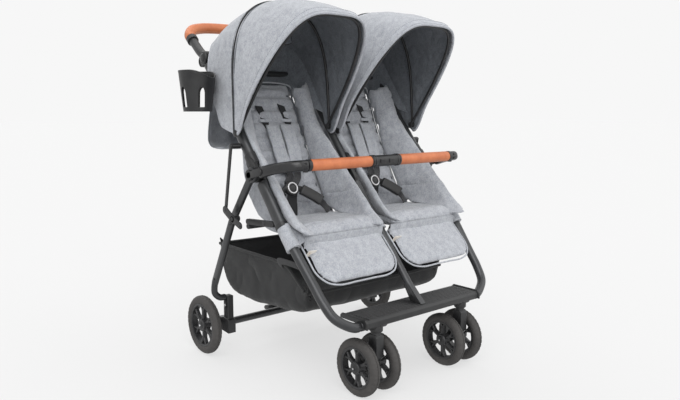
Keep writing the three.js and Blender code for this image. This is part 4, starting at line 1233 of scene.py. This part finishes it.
def tube_wraps():
    """Cloth sleeves that hold the front corners of the seats to the side tubes."""
    for side, s in SIDES:
        low, high = (np.array(along_tube(s * x, d)) for x, d in ((315, -232), (317.5, -166)))
        route = [low + (high - low) * k / 24 for k in range(25)]
        route = [(s * np.interp(p[2], [378, 440], [314.5, 318]), p[1], p[2]) for p in route]
        sleeve = sweep(route, oval(17.5, 21, 36), (1, 0, 0), lambda k: 1.04 - 0.08 * k)
        wrinkle(piece(f"seat_tube_wrap_{side}", sleeve, HEATHER, "front_frame"), 40, 0.9, 31)

        def tongue(u, v):
            start = np.array(route[int(round(24 * (0.1 + 0.8 * v)))]) + (-s * 12, -8, 3)
            end = np.array((s * (SEAT_X + 118), -424 + 66 * v, 408 + 24 * v))
            p = start + (end - start) * u
            return (p[0], p[1] - 7 * math.sin(math.pi * u), p[2] + 3 * math.sin(math.pi * u))

        sheet = piece(f"seat_corner_{side}", grid(tongue, 20, 24), HEATHER, "front_frame", thick=3)
        declare_sheet(wrinkle(sheet, 30, 1.6, 9), 0.08, "stretched", f"lower_tube_{side}_outer")
    route = [along_tube(0, -214 + 30 * k / 12) for k in range(13)]
    sleeve = sweep(route, oval(15, 16, 30), (1, 0, 0), lambda k: 1 + 0.07 * math.cos(5 * k))
    wrinkle(piece("seat_centre_wrap", sleeve, HEATHER, "front_frame"), 22, 1.4, 3)


def flap_place(u, v, lift=0.0):
    """A point of the calf rest: u across from -1 to 1, v down from 0 to 1, about x = 0."""
    lean = math.radians(FLAP["lean"])
    down, corner, reach = FLAP["drop"] * v, FLAP["corner"], FLAP["half"]
    rest = down - (FLAP["drop"] - corner)
    if rest > 0:
        reach += math.sqrt(max(0.0, corner**2 - rest**2)) - corner
    depth = FLAP["thick"] / 2 + lift
    y = FLAP["y"] - depth * math.cos(lean) - down * math.sin(lean)
    return (u * reach, y, FLAP["z"] - down * math.cos(lean) + depth * math.sin(lean))


def flap_cover():
    """The cushion of the right calf rest, with a sewn line 9 mm inside its edge."""
    cx = -FLAP["x"]

    def border(p, normal):
        down = (FLAP["z"] - p.z) / math.cos(math.radians(FLAP["lean"]))
        x = max(0.0, abs(p.x - cx) - (FLAP["half"] - FLAP["corner"]))
        low = max(0.0, down - (FLAP["drop"] - FLAP["corner"]))
        return groove(math.hypot(x, low), FLAP["corner"] - 9, 2.6)

    shape = pad(lambda u, v: flap_place(2 * u - 1, -0.06 + 1.05 * v, 2.5 * math.sin(math.pi * v)),
                lambda u, v: 5.6, 44, 34, 3, 12)
    cover = inflate(piece("calf_rest_right_cover", moved(shape, cx), HEATHER), 6.5, 4)
    return wrinkle(crease(cover, border, 2.2), 45, 1.3, 77)


def flaps():
    for side, s in SIDES:
        cx, body = s * FLAP["x"], f"calf_rest_{side}"
        made = flap_cover() if side == "right" else copy_of(made, f"{body}_cover", 2 * FLAP["x"])
        cushion(made, body, body)

        def hinge_cloth(u, v):
            x, y, z = flap_place(2 * u - 1, 0.1)
            k = v * v * (3 - 2 * v)
            return (cx + 0.97 * x, -426 + (y - 1 + 426) * k, 410 + (z + 0.5 - 410) * v)

        hinge = piece(f"calf_rest_hinge_cloth_{side}", grid(hinge_cloth, 30, 8), HEATHER, thick=1.4)
        declare_sheet(hinge, 0.28, "stretched", f"seat_pad_{side}_cover")
        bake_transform(hinge)
        rows = [k / 30 for k in range(31)]
        edge = [flap_place(-1, v) for v in rows] + [flap_place(u / 10, 1) for u in range(-5, 6)]
        edge += [flap_place(1, v) for v in reversed(rows)]
        route = smooth_route([(cx + x, y, z) for x, y, z in edge[::2]], 150)
        piece(f"calf_rest_piping_{side}", cord(route, 2.4, 2.4, 12), TRIM, body)
        # A plain folded tab sewn into the outer side seam.
        x, y, z = np.array(flap_place(-1, 0.25, 7)) + (cx, 0, 0)
        tab = [(x, y, z), (x + 12, y - 1.5, z - 0.5), (x + 23, y - 1.5, z - 1)]
        piece(f"calf_rest_tab_{side}", strap(tab, 26, 1.4, (0, -0.7, 0.7), 10), TAB, body)
        mark = [(x + 5, y - 2.0, z + 0.6), (x + 18, y - 2.6, z + 0.2)]
        piece(f"calf_rest_tab_band_{side}", strap(mark, 15, 0.8, (0, -0.7, 0.7), 6), TAB_MARK, body)


def harness():
    """Shoulder straps through the backrest, with their loops and soft pads."""
    def front(z, lift):
        return curve_value(BACK, z)[0] - 11 - lift

    for side, s in SIDES:
        cx, body = s * SEAT_X, f"seat_back_{side}"
        buckle_x, buckle_y = cx + BUCKLE["dx"], BUCKLE["y"]
        for name, k in (("a", -1), ("b", 1)):
            # Each web slants in from its slot to a loop at the head of its pad.
            slot_x, slot_z = (cx - 50, 742) if k < 0 else (cx + 27, 751)
            x = cx - 38 if k < 0 else cx + 44
            web = [(slot_x - 2, front(slot_z + 10, -5), slot_z + 10), (slot_x, front(slot_z, 3.5), slot_z),
                   ((slot_x + x) / 2, front(724, 5), 724), (x, front(702, 6), 702)]
            piece(f"shoulder_strap_{side}_{name}", strap(web, 25, 2.2), WEBBING, body)
            loop = [(x - 20, front(700, -1), 701), (x - 14, front(700, 9), 700), (x + 12, front(700, 9), 699),
                    (x + 18, front(700, -1), 699)]
            piece(f"strap_loop_{side}_{name}", strap(loop, 9, 2.2, (0, 0, 1), 20), TRIM, body)
            flare = [(x - 13, front(692, 6), 696), (x + 13, front(692, 6), 695), (x - 4 * k, front(660, 10), 664)]
            fold = (flare + moved((flare, ()), dy=-2)[0],
                    [(0, 1, 2), (5, 4, 3), (0, 3, 4, 1), (1, 4, 5, 2), (2, 5, 3, 0)])
            piece(f"strap_fold_{side}_{name}", fold, WEBBING, body, bevel=0.6)

            def surface(u, v):
                z = 688 - 136 * v
                middle = cx + 8 + 26 * k - 6 * v - 8 * k * v**3
                return (middle + 22.5 * (2 * u - 1), front(z, 12 + 8 * math.sin(math.pi * v) + 10 * v), z)

            soft = pad(surface, lambda u, v: 5.2, 20, 44, 2.4, 8)
            cover = wrinkle(piece(f"shoulder_pad_{side}_{name}", soft, HEATHER, body), 34, 2.0, 5 * k + 2 * s)
            tail_x, end_y = cx + 2 + 18 * k, front(552, 25)
            end = (buckle_x + 12 * k, buckle_y, 526)
            tail = strap([(tail_x, end_y + 2, 562), (tail_x - 4 * k, end_y - 8, 545), end], 22, 2.2)
            drop = piece(f"shoulder_tail_{side}_{name}", tail, WEBBING)
            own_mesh(drop)
            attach(drop, "front_frame")
            prong = [(buckle_x + 10 * k, buckle_y + 9, 533), (buckle_x + 9 * k, buckle_y + 10, 520)]
            piece(f"shoulder_prong_{side}_{name}", strap(prong, 14, 6, (1, 0, 0), 8), PLASTIC, "front_frame", bevel=1.5)


# ------------------------------------------------------------- basket and rear pouch
def basket():
    """A cloth tray that hangs from its side hems and sags between them."""
    half, corner, rows, body = 264, 34, 90, "front_frame"
    path = [(-396, 248), (-394, 226), (-386, 204), (-350, 186), (-276, 178), (-200, 172), (-120, 169), (-40, 170),
            (-6, 178), (18, 196), (34, 250), (45, 318)]
    floor = smooth_route([(0, y, z) for y, z in path], rows)

    def top_at(y):
        return float(np.interp(y, [-398, -380, -320, -290, 45], [250, 262, 306, 317, 320]))

    def round_off(distance):
        """How far a rounded lower corner stands off from a wall or the floor."""
        return corner - math.sqrt(max(0.0, corner**2 - distance**2))

    def section(u, v):
        """v goes along the tray from front to back, u across it from one top edge to the other."""
        y, z = (float(value) for value in floor[min(int(round(v * rows)), rows)][1:])
        top = max(top_at(y), z + 0.5)
        wall = top - z
        d = u * (2 * half + 2 * wall)
        x, h = min(max(d - wall, 0), 2 * half) - half, z + max(wall - d, d - wall - 2 * half, 0)
        inset = max(0.0, corner - (h - z)) if abs(x) >= half - 0.1 else 0.0
        x -= math.copysign(min(round_off(inset), corner), x)
        edge = half - abs(x)
        if h == z and edge < corner:
            h = z + round_off(corner - edge)
        # The walls lean in a little.
        lean = 5 * math.sin(math.pi * min(1, (h - z) / max(wall, 1)))
        return (x - math.copysign(lean, x), y, max(h, z))

    cloth = piece("basket_cloth", grid(section, 110, rows), BASKET, replaces="basket", thick=1.6, sharp=60)
    wrinkle(cloth, 90, 5, 5, lambda p: 0.35 if p.z > 300 else 1.0)
    declare_sheet(cloth, 1.0, "hung", "lower_tube_right_outer", "lower_tube_left_outer")
    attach(cloth, body)
    for side, s in SIDES:
        edge = [(s * (half - 0.5), y, top_at(y)) for y in range(44, -398, -12)]
        hem = cord(smooth_route(edge, 90), 3.4, 4.6, 14, (1, 0, 0))
        piece(f"basket_hem_{side}", hem, BASKET, body)
        row = [(s * (half + 1.6), y, top_at(y) - 11) for y in range(40, -380, -6)]
        piece(f"basket_stitches_{side}", stitches(row, 6, 4, 0.5), WEBBING, body)
        hanger = [(s * (half - 1), -284, 302), (s * (half + 12), -294, 322), (s * 294, on_tubes(330) + 12, 330)]
        piece(f"basket_hanger_{side}", strap(hanger, 22, 2.0, (0, 1, 0.3)), WEBBING, body)
    for name, y, z in (("front", -396, 250), ("rear", 45, 320)):
        row = [(x, y, z - 4 * math.cos(x / 168)) for x in range(-half, half + 1, 12)]
        piece(f"basket_{name}_hem", cord(row, 3.6, 4.4, 14), BASKET, body)


def pouches():
    """A loose cloth pocket that hangs behind each backrest, open at its sides."""
    path = [(-40, 796), (-10, 782), (22, 760), (44, 728), (56, 690), (64, 650), (62, 628), (46, 616), (16, 613),
            (-24, 616), (-62, 623), (-88, 632)]
    route = smooth_route([(0, y, z) for y, z in path], 80)
    for side, s in SIDES:
        def drape(u, v):
            p = route[min(int(round(v * 80)), 80)]
            side_sag = (2 * u - 1) ** 2
            fold = 5 * math.sin(7 * math.pi * u + 1.3 * s) * math.sin(math.pi * v)
            return (s * SEAT_X + 132 * (2 * u - 1), p[1] + fold - 10 * side_sag * math.sin(math.pi * v),
                    p[2] + 7 * side_sag * math.sin(math.pi * v))

        cloth = piece(f"rear_pouch_{side}", grid(drape, 44, 80), HEATHER, thick=1.6)
        wrinkle(cloth, 60, 5, 60 + s)
        declare_sheet(cloth, 0.27, "hung", "upper_cross_tube_bar")
        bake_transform(cloth)
        for k, u in (("right", 0.0), ("left", 1.0)):
            edge = smooth_route([drape(u, v / 40) for v in range(41)], 80)
            # The hems are drawn in the darker copy of the heather as painted shade.
            hem = piece(f"rear_pouch_hem_{side}_{k}", cord(edge, 2.0, 1.8, 10, (1, 0, 0)), SHADED_HEATHER)
            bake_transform(hem)


# ------------------------------------------------------------------ studio and camera
def studio():
    """A plain pale floor as bright as the surroundings, so that no horizon shows, and soft lights."""
    sky = 0.93
    glow = 0.66  # the share of the floor's brightness that is its own, which keeps shadows pale
    suns = (  # name, direction that the light comes from, strength, apparent size in degrees
        ("key_light", (-0.55, -0.60, 0.85), 1.6, 50),
        ("right_light", (0.85, -0.75, 0.75), 0.7, 60),
        ("rear_light", (0.10, 0.90, 1.10), 0.7, 50),
        ("front_light", (-0.45, -1.00, 0.20), 1.0, 60),
    )
    for name, place, power, size in suns:
        data = bpy.data.lights.new(name, "SUN")
        data.energy = power
        data.angle = math.radians(size)
        add_object(name, data).rotation_euler = (-Vector(place)).to_track_quat("-Z", "Y").to_euler()
    # The floor sends back as much light as the sky behind it.
    falling = sky + sum(power * Vector(place).normalized().z / math.pi for _, place, power, _ in suns)
    tone = sky * (1 - glow) / falling
    n = Nodes("studio_paper", Specular_IOR_Level=0.0, Emission_Color=(1, 1, 1, 1), Emission_Strength=sky * glow)
    paper = n.finish(n.mix(n.noise(3, 2), (tone,) * 3, (tone * 1.004,) * 3), n.spread(n.noise(8, 2), 0, 1, 0.9, 1.0),
                     n.noise(400, 2), 0.0001, 0.05)
    size = 40000
    mesh = bpy.data.meshes.new("studio_floor")
    corners = [(-size, -size, -0.4), (size, -size, -0.4), (size, size, -0.4), (-size, size, -0.4)]
    mesh.from_pydata([at(*c) for c in corners], [], [(0, 1, 2, 3)])
    mesh.materials.append(paper)
    add_object("studio_floor", mesh)
    world = bpy.data.worlds.new("studio_world")
    world.use_nodes = True
    background = world.node_tree.nodes["Background"]
    background.inputs["Color"].default_value = (1, 1, 1, 1)
    background.inputs["Strength"].default_value = sky
    bpy.context.scene.world = world
    bpy.context.scene.view_settings.view_transform = "Standard"


def camera():
    data = bpy.data.cameras.new("camera")
    data.sensor_width = 36
    data.lens = 35.366
    data.clip_end = 100
    azimuth, pitch = math.radians(-40.3527), math.radians(7.6743)
    heading = Vector((-math.sin(azimuth) * math.cos(pitch), math.cos(azimuth) * math.cos(pitch), -math.sin(pitch)))
    lens = add_object("camera", data)
    lens.location = at(-1300, -1752.9, 730.3)
    lens.rotation_euler = heading.to_track_quat("-Z", "Y").to_euler()
    bpy.context.scene.camera = lens


# --------------------------------------------------------------------------- assembly
for build in (camera, studio, lower_frame, footboard, rear_frame, upper_frame, handle, cup_holder, wheels, bumper,
              buckles, canopies, backs, seat_pads, wings, gussets, tube_wraps, flaps, harness, basket, pouches):
    build()
